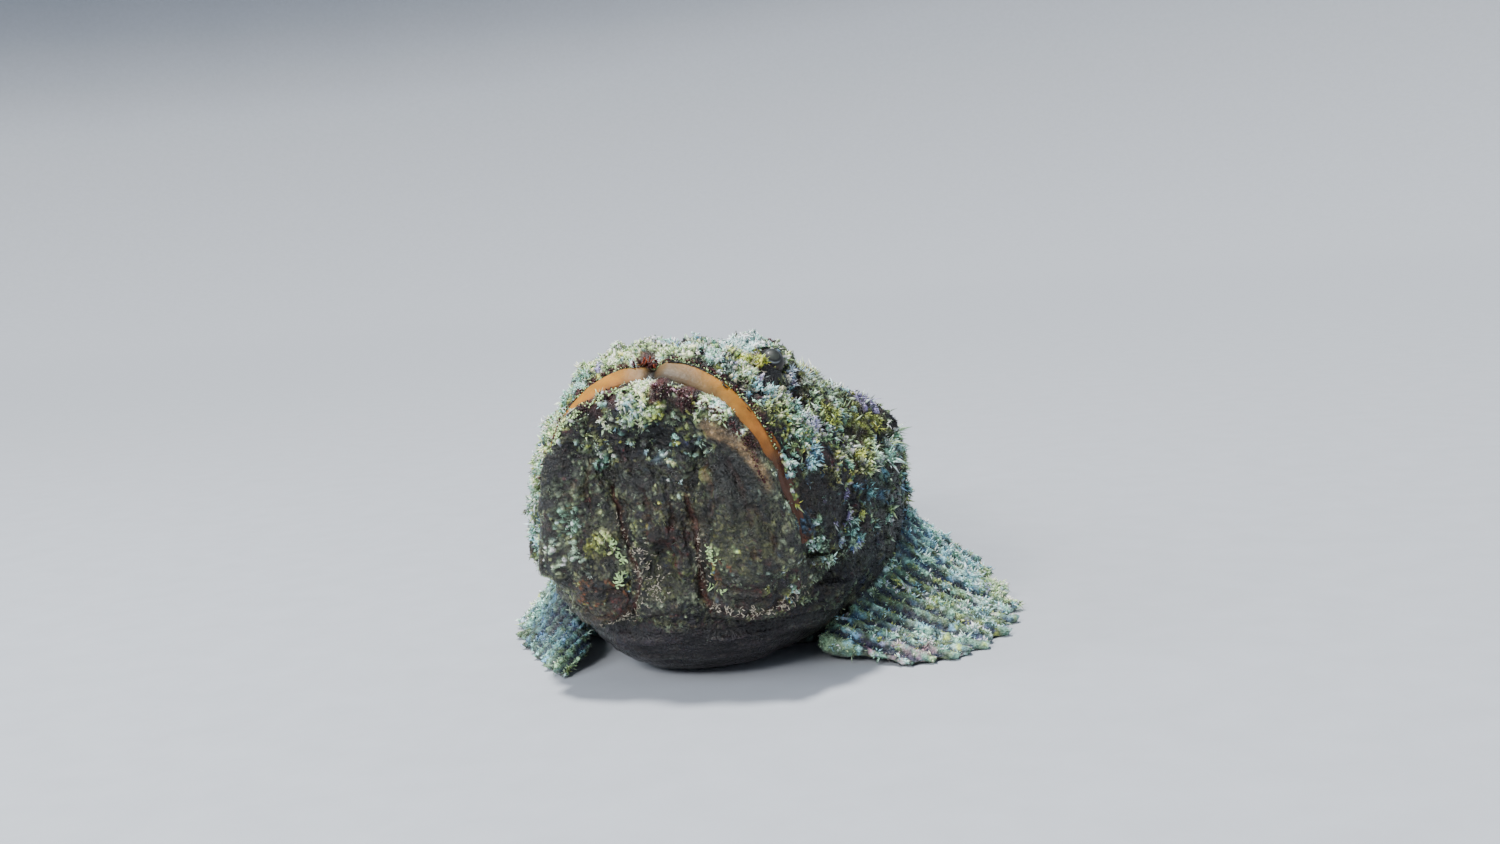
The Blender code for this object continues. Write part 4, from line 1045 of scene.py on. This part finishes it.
def spindles(root, heading, reach, width, flat, bend, rings):
    """The points of each spindle: a buried end, rings of three by (share along, thickness), a tip."""
    one = unit(np.cross(heading, unit(bend + 0.31 * heading[:, ::-1] + 0.05)))
    two = np.cross(heading, one)
    shape = np.empty((len(root), 2 + 3 * len(rings), 3))
    for corner_at, t in ((0, 0.0), (-1, 1.0)):
        shape[:, corner_at] = root + (heading * t + bend * t * t) * reach[:, None]
    for ring, (t, thick) in enumerate(rings):
        middle = root + (heading * t + bend * t * t) * reach[:, None]
        for k in range(3):
            turn = 2 * math.pi * k / 3
            away = one * math.cos(turn) + two * (math.sin(turn) * flat)[:, None]
            shape[:, 1 + 3 * ring + k] = middle + away * (width * thick)[:, None]
    shape[:, :, 2] = np.maximum(shape[:, :, 2], FLOOR_REST)
    return shape


def tube_faces(rings, sides):
    """The triangles of a closed tube: its first point, then rings of points, then its last point."""
    faces = []
    for k in range(sides):
        n = (k + 1) % sides
        faces.append((0, 1 + n, 1 + k))
        for ring in range(rings - 1):
            low, high = 1 + ring * sides, 1 + (ring + 1) * sides
            faces += [(low + k, low + n, high + n), (low + k, high + n, high + k)]
        faces.append((1 + (rings - 1) * sides + k, 1 + (rings - 1) * sides + n, 1 + rings * sides))
    return np.array(faces)


SPINDLE_STEPS = np.array((0.0, 0.5, 0.5, 0.5, 1.0))


def unwrapped(side, behind, up, outward_x, on_fin):
    """The crust's places on an unwrap of the skin: a disc with the middle of the face at its centre
    and the tail at its rim, and for the fins' own piece each fin laid flat."""
    radius = 0.48 * (np.hypot(side, up - MOUTH_CENTRE_UP) + behind + 8) / UNWRAP_LENGTH
    turn = np.arctan2(up - MOUTH_CENTRE_UP, side)
    disc = 0.5 + np.stack([radius * np.cos(turn), radius * np.sin(turn)], 1)
    laid = np.stack([(side + 90) / 190, (behind + 5) / 310], 1)
    edgewise = np.stack([0.05 + up / 220 + 0.5 * (outward_x > 0), (behind + 5) / 310], 1)
    upright = (behind > 78) & (np.abs(side) < 16)
    laid = np.where(upright[:, None], edgewise, laid)
    return np.where(on_fin[:, None], laid, disc)


def patch_spots(place, steps, turns):
    """Where the points of each tuft's pieces lie in its own small patch of the unwrap."""
    wide = 0.4 * np.sin(math.pi * np.clip(steps, 0, 1))
    return place[:, None] + UNWRAP_PATCH * np.stack([wide * np.cos(turns), steps - 0.5], 1)[None]


crust_finish = Finish("crust", 0.5)
crust_finish.paint(crust_finish.marks(), crust_finish.uneven(1500, 0.35, 0.65, 0.75, 1.25))
crust_finish.set(Specular_IOR_Level=0.4)


def grown_piece(name, shape, pattern, low_paint, tip_paint, steps, place):
    """One joined mesh of many like tubes, with their colours and their places on the unwrap."""
    each = shape.shape[1]
    points = shape.reshape(-1, 3)
    faces = (pattern[None] + each * np.arange(len(shape))[:, None, None]).reshape(-1, 3)
    first = shape[0][pattern] - shape[0].mean(axis=0)
    if np.einsum("ij,ij->i", first[:, 0], np.cross(first[:, 1], first[:, 2])).sum() < 0:
        faces = faces[:, ::-1]
    mesh = bpy.data.meshes.new(name)
    mesh.vertices.add(len(points))
    mesh.vertices.foreach_set("co", points.astype(np.float32).ravel())
    mesh.loops.add(faces.size)
    mesh.loops.foreach_set("vertex_index", faces.astype(np.int32).ravel())
    mesh.polygons.add(len(faces))
    mesh.polygons.foreach_set("loop_start", np.arange(0, faces.size, 3, dtype=np.int32))
    mesh.polygons.foreach_set("use_smooth", np.ones(len(faces), bool))
    mesh.update(calc_edges=True)
    mixed = low_paint[:, None] + (tip_paint - low_paint)[:, None] * steps[None, :, None]
    painted(mesh, np.clip(mixed, 0.01, 0.97).reshape(-1, 3))
    layer = mesh.uv_layers.new(name="OFBake")
    turns = np.arange(each) * 2.1
    spots = patch_spots(place, steps, turns).reshape(-1, 2)
    layer.data.foreach_set("uv", spots[faces.ravel()].astype(np.float32).ravel())
    mesh.materials.append(crust_finish.material)
    piece = object_from(mesh)
    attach(piece, "root")
    return piece


tuft_root = across(P)
tuft_outward = unit(across(hide_work.outward))
tuft_fin = across(fin.astype(float)) > 0.5
tuft_velvet = across(velvet)
tuft_side, tuft_behind, tuft_up = across(side), across(behind), across(up)
tuft_paint = growth(tuft_root, {name: across(shares) for name, shares in zone.items()})
# Partly painted highlight: tufts on the fins' ray ridges are made paler
tuft_paint *= 1 + 0.4 * across(ridge)[:, None]
tuft_pale = tuft_paint.mean(axis=1)
tuft_place = unwrapped(tuft_side, tuft_behind, tuft_up, tuft_outward[:, 0], tuft_fin)

size = 0.78 + 0.45 * eased(tuft_behind, 20, 70)
size = np.where(across(jaw_front) > 0.5, 0.62 - 0.10 * tuft_velvet, size)
size = np.where(tuft_fin, 0.75, size) * draw.uniform(0.65, 1.4, TUFT_COUNT) * (0.62 + 0.75 * tuft_pale)
blunt = draw.random(TUFT_COUNT) < np.clip(0.35 + 0.65 * tuft_pale - 0.3 * tuft_velvet, 0, 0.9)
per_tuft = draw.integers(*PER_TUFT, TUFT_COUNT)
mother = np.repeat(np.arange(TUFT_COUNT), per_tuft)
count = len(mother)

outward = tuft_outward[mother]
wild = draw.normal(size=(count, 3))
# Partly pale filaments, partly painted highlight: a few spindles, most on the jaw and where the growth
# is pale, grow longer and wider and are painted near white as glints
bright = np.where(across(jaw_front)[mother] > 0.5, 5, 7)
glint = draw.random(count) ** bright * np.clip(0.3 + 1.4 * tuft_pale[mother], 0, 1)
heading = outward * (1 - 0.5 * glint)[:, None] + wild * (0.5 + 0.4 * glint)[:, None] + LEAN
heading -= outward * np.minimum(0, (heading * outward).sum(1) - 0.3)[:, None]
heading = unit(heading)
tangent = unit(wild - outward * (wild * outward).sum(1)[:, None])
is_grain = blunt[mother]
long_grain, long_hair = draw.uniform(*GRAIN_LENGTH, count), draw.uniform(*HAIR_LENGTH, count)
reach = size[mother] * MM * np.where(is_grain, long_grain, long_hair)
wide_grain, wide_hair = draw.uniform(*GRAIN_WIDTH, count), draw.uniform(*HAIR_WIDTH, count)
width = MM * np.where(is_grain, wide_grain, wide_hair)
width *= np.clip(size[mother], 0.6, 1.5) * (1 + 0.9 * glint)
reach *= (1 + 0.8 * glint) * (1 - 0.4 * eased(tuft_up, 87, 93))[mother]
flat = np.where(is_grain, draw.uniform(*GRAIN_FLATNESS, count), 1.0)
root = tuft_root[mother] + tangent * (MM * draw.uniform(0, 0.6, count) * size[mother])[:, None]
root -= outward * (BURIED * MM)
bend = draw.normal(size=(count, 3)) * BENDING + np.array(DROOP)
shape = spindles(root, heading, reach, width, flat, bend, ((0.5, 1.0),))

low_paint = tuft_paint * draw.uniform(0.8, 1.15, (TUFT_COUNT, 1))
tip_share = np.clip(0.02 + 0.4 * draw.random(TUFT_COUNT) ** 3 * (0.2 + 1.1 * tuft_pale), 0, 0.6)
tip_paint = low_paint * 1.15 + (np.array(TIP_TINT) - low_paint * 1.15) * tip_share[:, None]
low_paint *= (0.16 + 0.55 * eased(tuft_pale, 0.3, 0.9))[:, None]
low_paint, tip_paint = low_paint[mother], tip_paint[mother] * draw.uniform(0.75, 1.2, (count, 1))
tip_paint += (np.array(TIP_TINT) - tip_paint) * (0.85 * glint)[:, None]
low_paint += (np.array(TIP_TINT) - low_paint) * (0.45 * glint)[:, None]

is_fin = tuft_fin[mother]
body_order = np.flatnonzero(~is_fin)[np.argsort(tuft_behind[mother][~is_fin], kind="stable")]
order = np.concatenate([body_order, np.flatnonzero(is_fin)])
body_count = len(body_order)
starts = [*range(0, body_count, SPINDLES_PER_PIECE), *range(body_count, count, SPINDLES_PER_PIECE)]
for number, (start, end) in enumerate(zip(starts, starts[1:] + [count]), 1):
    some = order[start : min(end, start + SPINDLES_PER_PIECE)]
    piece = grown_piece(
        f"crust_{number}",
        shape[some],
        tube_faces(1, 3),
        low_paint[some],
        tip_paint[some],
        SPINDLE_STEPS,
        tuft_place[mother[some]],
    )

# The fringes: rows of small fleshy granules along both lips, pale curled threads beside the creases
# of the lower jaw and along the lobes under it, and a chain of pale folds. Each is a closed tube
# rooted where a line from in front meets the skin.

FRINGE_SEED = 8
FRINGE_DEPTH = 36
PEARL = (0.80, 0.76, 0.68)

# Curls: the path as (side, up) in mm, how many, how far they scatter, their length and half width
# in mm, how far they curl round in radians, and their colour
CURLS = (
    (
        ((-11.4, 52), (-10.6, 45), (-9.2, 39.5), (-7.4, 33.5), (-8.4, 27)),
        *(50, 0.7, 1.3, 0.12, 2.0, PEARL),
    ),
    (((-7, 42), (-4.5, 36), (-3.5, 31), (-4.5, 26)), 90, 2.2, 1.4, 0.12, 3.0, PEARL),
    (((-13.6, 44), (-12.6, 41), (-11.8, 37), (-12.4, 33), (-14, 30)), 44, 0.7, 2.0, 0.24, 2.6, CREAM),
    (((-7, 27), (-10, 23), (-14, 20), (-20, 19.5)), 50, 1.1, 1.4, 0.12, 2.6, PEARL),
    (((9.8, 46), (9.9, 40), (9.4, 34), (9.8, 28)), 44, 1.1, 1.3, 0.12, 2.2, PEARL),
    (((11.5, 31), (14, 28.8), (17.5, 29.3)), 9, 0.3, 2.2, 0.18, 1.4, CREAM),
    (((12, 25), (17, 22.5), (24, 21.5), (31, 23), (36, 27)), 130, 1.4, 1.3, 0.12, 1.6, PEARL),
    (((13.5, 42), (13, 38.5), (15, 36)), 22, 0.8, 1.4, 0.22, 2.2, CREAM),
    (((24.5, 90), (24.5, 86), (27, 82), (31, 80)), 60, 1.8, 2.2, 0.11, 2.2, PEARL),
)


def lip_path(start, end, outside):
    """(side, up) along one lip's edge, from one angle round the mouth to another."""
    angles = np.linspace(start, end, 40)
    x, z = mouth_arch(angles)
    out = np.stack([-np.gradient(z), np.gradient(x)], 1)
    out = unit(out) * (np.sign((out * np.stack([x, z - MOUTH_CENTRE_UP], 1)).sum(axis=1))[:, None])
    half = read_off(OPENING, angles) + 0.5
    raised = read_off(ARCH_LIFT, angles)
    return np.stack([x, z], 1) + out * (half * outside + raised)[:, None]


# Granules: the same, with no curl
CLARET = (0.19, 0.09, 0.095)
EMBER = (0.64, 0.27, 0.13)
GRANULES = (
    (((4.2, 83.4), (6.8, 83.0)), 90, 1.5, 0.9, 0.34, CLARET),
    (((11.4, 80.6), (14.3, 79.4)), 100, 1.6, 1.0, 0.34, CLARET),
    (((26, 71), (29.3, 67.2)), 60, 0.9, 0.8, 0.30, CLARET),
    (((-13, 82.5), (-10.5, 83.5)), 40, 1.1, 0.9, 0.34, CLARET),
    (((-19, 79), (-16.5, 80.5)), 46, 1.2, 0.9, 0.34, CLARET),
    (((4.2, 83.5), (6.8, 83)), 9, 1.1, 1.1, 0.17, PEARL),
    (((11.4, 81), (14.3, 79.5)), 9, 1.4, 1.1, 0.17, PEARL),
    (lip_path(-1.2, -0.12, 1), 150, 0.5, 1.2, 0.34, MAROON),
    (lip_path(-0.14, 0.02, 1), 40, 1.0, 2.0, 0.36, MAROON),
    (lip_path(-0.11, 0.01, 1), 26, 0.9, 2.3, 0.28, EMBER),
    (lip_path(0.05, 1.3, 1), 150, 0.5, 1.1, 0.32, MAROON),
    (lip_path(0.04, 1.1, 0.93), 110, 0.25, 1.0, 0.25, CREAM),
    (lip_path(-1.0, -0.16, 0.93), 70, 0.25, 0.9, 0.22, CREAM),
    (lip_path(-1.0, -0.1, -1), 110, 0.5, 1.1, 0.32, CREAM),
    (lip_path(0.05, 0.45, -1), 26, 0.4, 1.1, 0.26, PINK),
    (lip_path(0.1, 1.25, -1), 200, 0.8, 0.9, 0.28, MAROON),
)

draw = np.random.default_rng(FRINGE_SEED)
skin_surface = BVHTree.FromPolygons([Vector(p) for p in P], triangles.tolist())


def fringe_rows(paths):
    """One row for each thing on the paths: root, way out of the skin, length, half width, curl and
    colour."""
    rows = []
    for path, number, loose, length, half_width, *turn, paint in paths:
        path = np.array(path, float)
        for t in draw.uniform(0, len(path) - 1, number):
            on_path = [np.interp(t, np.arange(len(path)), path[:, k]) for k in (0, 1)]
            x, z = (place + loose * draw.normal() * 0.6 for place in on_path)
            hit, way, _, _ = skin_surface.ray_cast(at(x, -30, z), Vector((0, 1, 0)))
            if hit is None or (hit.y - face_y) / MM > FRINGE_DEPTH:
                continue
            sizes = (length * draw.uniform(0.6, 1.25), half_width * draw.uniform(0.75, 1.2), sum(turn))
            rows.append((*hit, *way, *sizes, *(np.array(paint) * draw.uniform(0.75, 1.08))))
    return np.array(rows)


def fringe_place(root):
    """The fringes' places on the crust's unwrap."""
    return unwrapped(*fish_mm(root), root[:, 0], np.zeros(len(root), bool))


rows = fringe_rows(GRANULES)
root, outward, number = rows[:, :3], unit(rows[:, 3:6]), len(rows)
heading = unit(outward + 0.35 * draw.normal(size=(number, 3)) + np.array((0, 0, -0.2)))
granules = spindles(
    root - outward * 0.2 * MM,
    heading,
    rows[:, 6] * MM,
    rows[:, 7] * MM,
    np.full(number, 0.85),
    draw.normal(size=(number, 3)) * 0.2,
    ((0.35, 0.9), (0.84, 0.9)),
)
paint = rows[:, 9:]
granule_steps = np.array((0.0, 0.4, 0.4, 0.4, 0.9, 0.9, 0.9, 1.0))
piece = grown_piece(
    "lip_granules", granules, tube_faces(2, 3), paint * 0.4, paint, granule_steps, fringe_place(root)
)

THREAD_SHARES = np.linspace(0, 1, 9)
THREAD_WIDTHS = (0.85, 1.0, 1.0, 0.95, 0.9, 0.8, 0.6)
THREAD_SIDES = 5

rows = fringe_rows(CURLS)
root, outward, number = rows[:, :3], unit(rows[:, 3:6]), len(rows)
lying = 0.7 * draw.normal(size=(number, 3)) + np.array((0, 0, -1.0))
lying = unit(lying - outward * (lying * outward).sum(1)[:, None])
upright = np.cross(lying, outward)
start_way = unit(outward * 0.45 + lying)
bend_way = unit(upright * np.where(draw.random(number) < 0.5, -1, 1)[:, None] + outward * 0.15)
bend_way = unit(bend_way - start_way * (bend_way * start_way).sum(1)[:, None])
third = np.cross(start_way, bend_way)
curl = rows[:, 8] * draw.uniform(0.7, 1.2, number)
threads = np.empty((number, 2 + len(THREAD_WIDTHS) * THREAD_SIDES, 3))
for step, share_along in enumerate(THREAD_SHARES):
    turned = (curl * share_along)[:, None]
    bent = (start_way * np.sin(turned) + bend_way * (1 - np.cos(turned))) / curl[:, None]
    middle = root - outward * 0.15 * MM + bent * (rows[:, 6] * MM)[:, None]
    if step == 0:
        threads[:, 0] = middle
    elif step == len(THREAD_SHARES) - 1:
        threads[:, -1] = middle
    else:
        inward = -start_way * np.sin(turned) + bend_way * np.cos(turned)
        wide = (rows[:, 7] * THREAD_WIDTHS[step - 1] * MM)[:, None]
        for k in range(THREAD_SIDES):
            turn = 2 * math.pi * k / THREAD_SIDES
            corner_at = 1 + (step - 1) * THREAD_SIDES + k
            threads[:, corner_at] = middle + (inward * math.cos(turn) + third * math.sin(turn)) * wide
thread_steps = np.concatenate([[0.4], np.repeat(0.5 + 0.5 * THREAD_SHARES[1:-1], THREAD_SIDES), [1.0]])
piece = grown_piece(
    "jaw_threads",
    threads,
    tube_faces(len(THREAD_WIDTHS), THREAD_SIDES),
    rows[:, 9:] * 0.5,
    rows[:, 9:],
    thread_steps,
    fringe_place(root),
)

# The mouth lining: the smooth moist membrane that shows as an orange band inside the open jaws.
# It is one soft piece, drawn finely again from the frame's two halves and pinched where they meet,
# with fine folds running along it. It is orange, greyer by the notch and brown at its lower ends,
# with painted shade in the pinched notch, along the inner edge of its right half and along the
# inner edge just to the fish's left of the notch.

LINING_GRAIN = 0.62 * MM
LINING_JOIN = 0.9 * MM
LINING_BACK = 0.35 * MM
BAND_HALF = 2.6
ORANGE = (0.68, 0.46, 0.15)
DEEP_ORANGE = (0.58, 0.36, 0.19)
TAN = (0.42, 0.335, 0.21)
BROWN = (0.36, 0.23, 0.18)

lining_finish = Finish("mouth_lining", 0.5)
lining_finish.paint(lining_finish.marks(), lining_finish.uneven(500, 0.3, 0.7, 0.85, 1.15))
lining_finish.relief(lining_finish.grain(1200), 0.25 * MM, 0.5)
lining_finish.set(Specular_IOR_Level=0.25, Subsurface_Weight=0.1, Subsurface_Scale=1 * MM)


def plain(paint, points):
    """One colour for every point."""
    return np.tile(np.array(paint), (len(points), 1))


halves = bmesh.new()
for word in ("left", "right"):
    halves.from_mesh(swollen_copy(f"mouth_lining_{word}", LINING_JOIN))
strip = remeshed(object_from(mesh_from(halves, "halves")), LINING_GRAIN)
relaxed(strip, strip.verts, 3)
mesh = mesh_from(strip, "mouth_lining")
points = values(mesh.vertices, "co", 3).astype(float)
normals = values(mesh.vertex_normals, "vector", 3).astype(float)
points -= normals * LINING_BACK
strip_side, _, strip_up = fish_mm(points)
angle, spread, way_out = mouth_place(strip_side, strip_up)
spread = np.clip(spread, -4, 4)
lift = read_off(ARCH_LIFT, angle)
points[:, 0] += way_out[:, 0] * lift * MM
points[:, 2] += way_out[:, 1] * lift * MM
facing = np.clip(-normals[:, 1] * 2 - 0.4, 0, 1)
pinch = bell(angle, 0.05)
fold = 0.03 * np.sin(spread * 3.4 + 1.5 * ripple(points, 9, 81)) + 0.06 * ripple(points, 1.8, 82)
dish = 0.15 * (spread / BAND_HALF) - 0.25 * (spread / BAND_HALF) ** 2 - 0.4
dish += 0.95 * (1 - eased(np.abs(spread) - read_off(OPENING, angle), -0.5, 0.6))
points += normals * (MM * facing * (fold + dish - 0.9 * pinch))[:, None]
mesh.vertices.foreach_set("co", points.astype(np.float32).ravel())
mesh.update()
paint = plain(ORANGE, points)
# Painted shade: deeper orange towards the inner edge of the right half
right_half = laid_over(paint, DEEP_ORANGE, 0.7 * (1 - eased(spread, -2.2, 0.4)))
right_half = laid_over(right_half, BROWN, eased(-angle, 0.62, 1.0))
left_half = laid_over(paint, TAN, 1 - eased(angle + 0.16 * spread, 0.15, 0.95))
left_half = laid_over(left_half, DEEP_ORANGE, 0.7 * eased(angle + 0.04 * spread, 0.6, 1.0))
left_half = laid_over(left_half, BROWN, 0.95 * eased(angle, 1.02, 1.24))
paint = np.where((angle < 0)[:, None], right_half, left_half)
paint = laid_over(paint, TAN, 0.7 * (1 - eased(-angle, 0.04, 0.32)) * (angle < 0))
# Painted shade: near black in the pinched notch
paint = laid_over(paint, PIT, 0.85 * pinch)
# Painted shade: darker along the inner edge just to the fish's left of the notch
notch_edge_shade = 0.6 * eased(angle, 0, 0.05) * (1 - eased(angle, 0.12, 0.4)) * (1 - eased(spread, -2.5, 1))
paint = laid_over(paint, PIT, notch_edge_shade)
paint = paint * (0.9 + 0.1 * ripple(points, 2.5, 83))[:, None]
painted(mesh, np.clip(paint, 0.01, 0.95))
mesh.materials.append(lining_finish.material)
mesh.shade_smooth()
lining = object_from(mesh)
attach(lining, "root")
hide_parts("mouth_lining_left", "mouth_lining_right")

# The eyes: small moist balls high on the head, with a dull olive pupil, a near-black iris in a
# broken silver ring, and mottled skin round it. Each has its colours by the angle from its axis
# and is seated under the skin's own lid.

EYE_TURN = (0.50, -0.62, 0.60)
# Where each colour fades into the next, in degrees from the axis
PUPIL_END, RING_START, RING_END = (24, 29), (31, 33), (35, 38)
IRIS_END, SKIN_START = (40, 44), (46, 52)
IRIS = (0.07, 0.075, 0.08)
SILVER = (0.72, 0.77, 0.80)
PUPIL = (0.21, 0.225, 0.21)

eye_finish = Finish("eye", 0.5)
eye_finish.wire(eye_finish.marks(), "Base Color")
eye_finish.set(Coat_Weight=0.12, Coat_Roughness=0.15, Specular_IOR_Level=0.3)

for word, sign in (("left", 1), ("right", -1)):
    eye_low, eye_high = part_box(f"eye_{word}")
    centre = (Vector(eye_low) + Vector(eye_high)) / 2
    radius_here = (eye_high[2] - eye_low[2]) / 2
    ball = bmesh.new()
    bmesh.ops.create_uvsphere(ball, u_segments=64, v_segments=40, radius=radius_here)
    axis = Vector((EYE_TURN[0] * sign, EYE_TURN[1], EYE_TURN[2])).normalized()
    turned = Vector((0, 0, 1)).rotation_difference(axis).to_matrix()
    bmesh.ops.rotate(ball, verts=ball.verts, cent=(0, 0, 0), matrix=turned)
    bmesh.ops.translate(ball, verts=ball.verts, vec=centre)
    mesh = mesh_from(ball, f"eyeball_{word}")
    points = values(mesh.vertices, "co", 3).astype(float)
    along = (points - np.array(centre)) @ np.array(axis) / radius_here
    off_axis = np.degrees(np.arccos(np.clip(along, -1, 1)))
    paint = laid_over(plain(PUPIL, points), IRIS, eased(off_axis, *PUPIL_END))
    broken = 0.55 + 0.6 * ripple(points, 2.2, 93)
    ring = eased(off_axis, *RING_START) * (1 - eased(off_axis, *RING_END))
    paint = laid_over(paint, SILVER, broken * ring)
    mottle = laid_over(plain(PIT, points), UMBER, 0.35 + 0.6 * ripple(points, 1.1, 95))
    paint = laid_over(paint, PIT, eased(off_axis, *IRIS_END))
    paint = paint + (mottle - paint) * eased(off_axis, *SKIN_START)[:, None]
    paint = paint * (0.85 + 0.25 * ripple(points, 0.9, 91))[:, None]
    painted(mesh, np.clip(paint, 0.01, 0.95))
    mesh.materials.append(eye_finish.material)
    mesh.shade_smooth()
    eye = object_from(mesh)
    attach(eye, "root")
    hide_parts(f"eye_{word}")

# The floor and the light: a plain pale floor that curves up far off into a backdrop, under soft
# studio lamps. The main lamp stands overhead, so that the crown and fins are bright and the face
# is in softer light.

FLOOR_RADIUS = 4.0
COVE_RADIUS = 2.5
BACKDROP_HEIGHT = 6.0
COVE_STOPS, ROUND_STEPS = 13, 72
FLOOR_TINT = (0.66, 0.68, 0.71)

ground = bmesh.new()
profile = [(0, 0)] + [
    (FLOOR_RADIUS + COVE_RADIUS * math.sin(t), COVE_RADIUS * (1 - math.cos(t)))
    for t in np.linspace(0, math.pi / 2, COVE_STOPS)
]
profile.append((FLOOR_RADIUS + COVE_RADIUS, BACKDROP_HEIGHT))
line = [ground.verts.new((x, 0, z)) for x, z in profile]
edges = [ground.edges.new(pair) for pair in zip(line, line[1:])]
around = {"cent": (0, 0, 0), "axis": (0, 0, 1), "angle": 2 * math.pi, "steps": ROUND_STEPS}
bmesh.ops.spin(ground, geom=line + edges, **around)
bmesh.ops.remove_doubles(ground, verts=ground.verts, dist=MM)
bmesh.ops.recalc_face_normals(ground, faces=ground.faces)
floor = object_from(mesh_from(ground, "floor"))
floor.data.shade_smooth()
floor_finish = Finish("pale_floor", 0.85)
tone = floor_finish.node("ShaderNodeRGB")
tone.outputs[0].default_value = (*linear(FLOOR_TINT), 1)
floor_finish.paint(tone.outputs[0], floor_finish.uneven(60, 0.3, 0.7, 0.97, 1.03))
floor.data.materials.append(floor_finish.material)


def lamp(name, place, target, size, watts, tint):
    """A square soft lamp that looks at a point."""
    light = bpy.data.lights.new(name, "AREA")
    light.shape = "SQUARE"
    light.size = size
    light.energy = watts
    light.color = tint
    made = bpy.data.objects.new(name, light)
    bpy.context.scene.collection.objects.link(made)
    turn = (Vector(target) - Vector(place)).to_track_quat("-Z", "Y")
    made.matrix_world = Matrix.Translation(place) @ turn.to_matrix().to_4x4()


# The main lamp's direction, strength, apparent width in degrees and tint, and the soft light all round
SUN_FROM = (-0.10, 0.02, 1.0)
SUN_STRENGTH, SUN_WIDTH, SUN_TINT = 6.0, 6, (1.0, 0.985, 0.95)
SKY_STRENGTH, SKY_TINT = 0.5, (0.80, 0.87, 0.98)

sun = bpy.data.lights.new("main_lamp", "SUN")
sun.energy = SUN_STRENGTH
sun.angle = math.radians(SUN_WIDTH)
sun.color = SUN_TINT
sun_lamp = bpy.data.objects.new("main_lamp", sun)
bpy.context.scene.collection.objects.link(sun_lamp)
sun_lamp.matrix_world = Vector(SUN_FROM).to_track_quat("Z", "Y").to_matrix().to_4x4()
lamp("front_lamp", (-0.30, -1.15, 0.75), (0, -0.10, 0.05), 0.35, 14, (1.0, 0.98, 0.96))
lamp("side_lamp", (-0.80, -0.55, 0.60), (0, -0.05, 0.05), 0.5, 6, (0.90, 0.95, 1.0))

sky = bpy.data.worlds.new("studio")
bpy.context.scene.world = sky
sky.use_nodes = True
backdrop = sky.node_tree.nodes["Background"]
backdrop.inputs["Color"].default_value = (*linear(SKY_TINT), 1)
backdrop.inputs["Strength"].default_value = SKY_STRENGTH
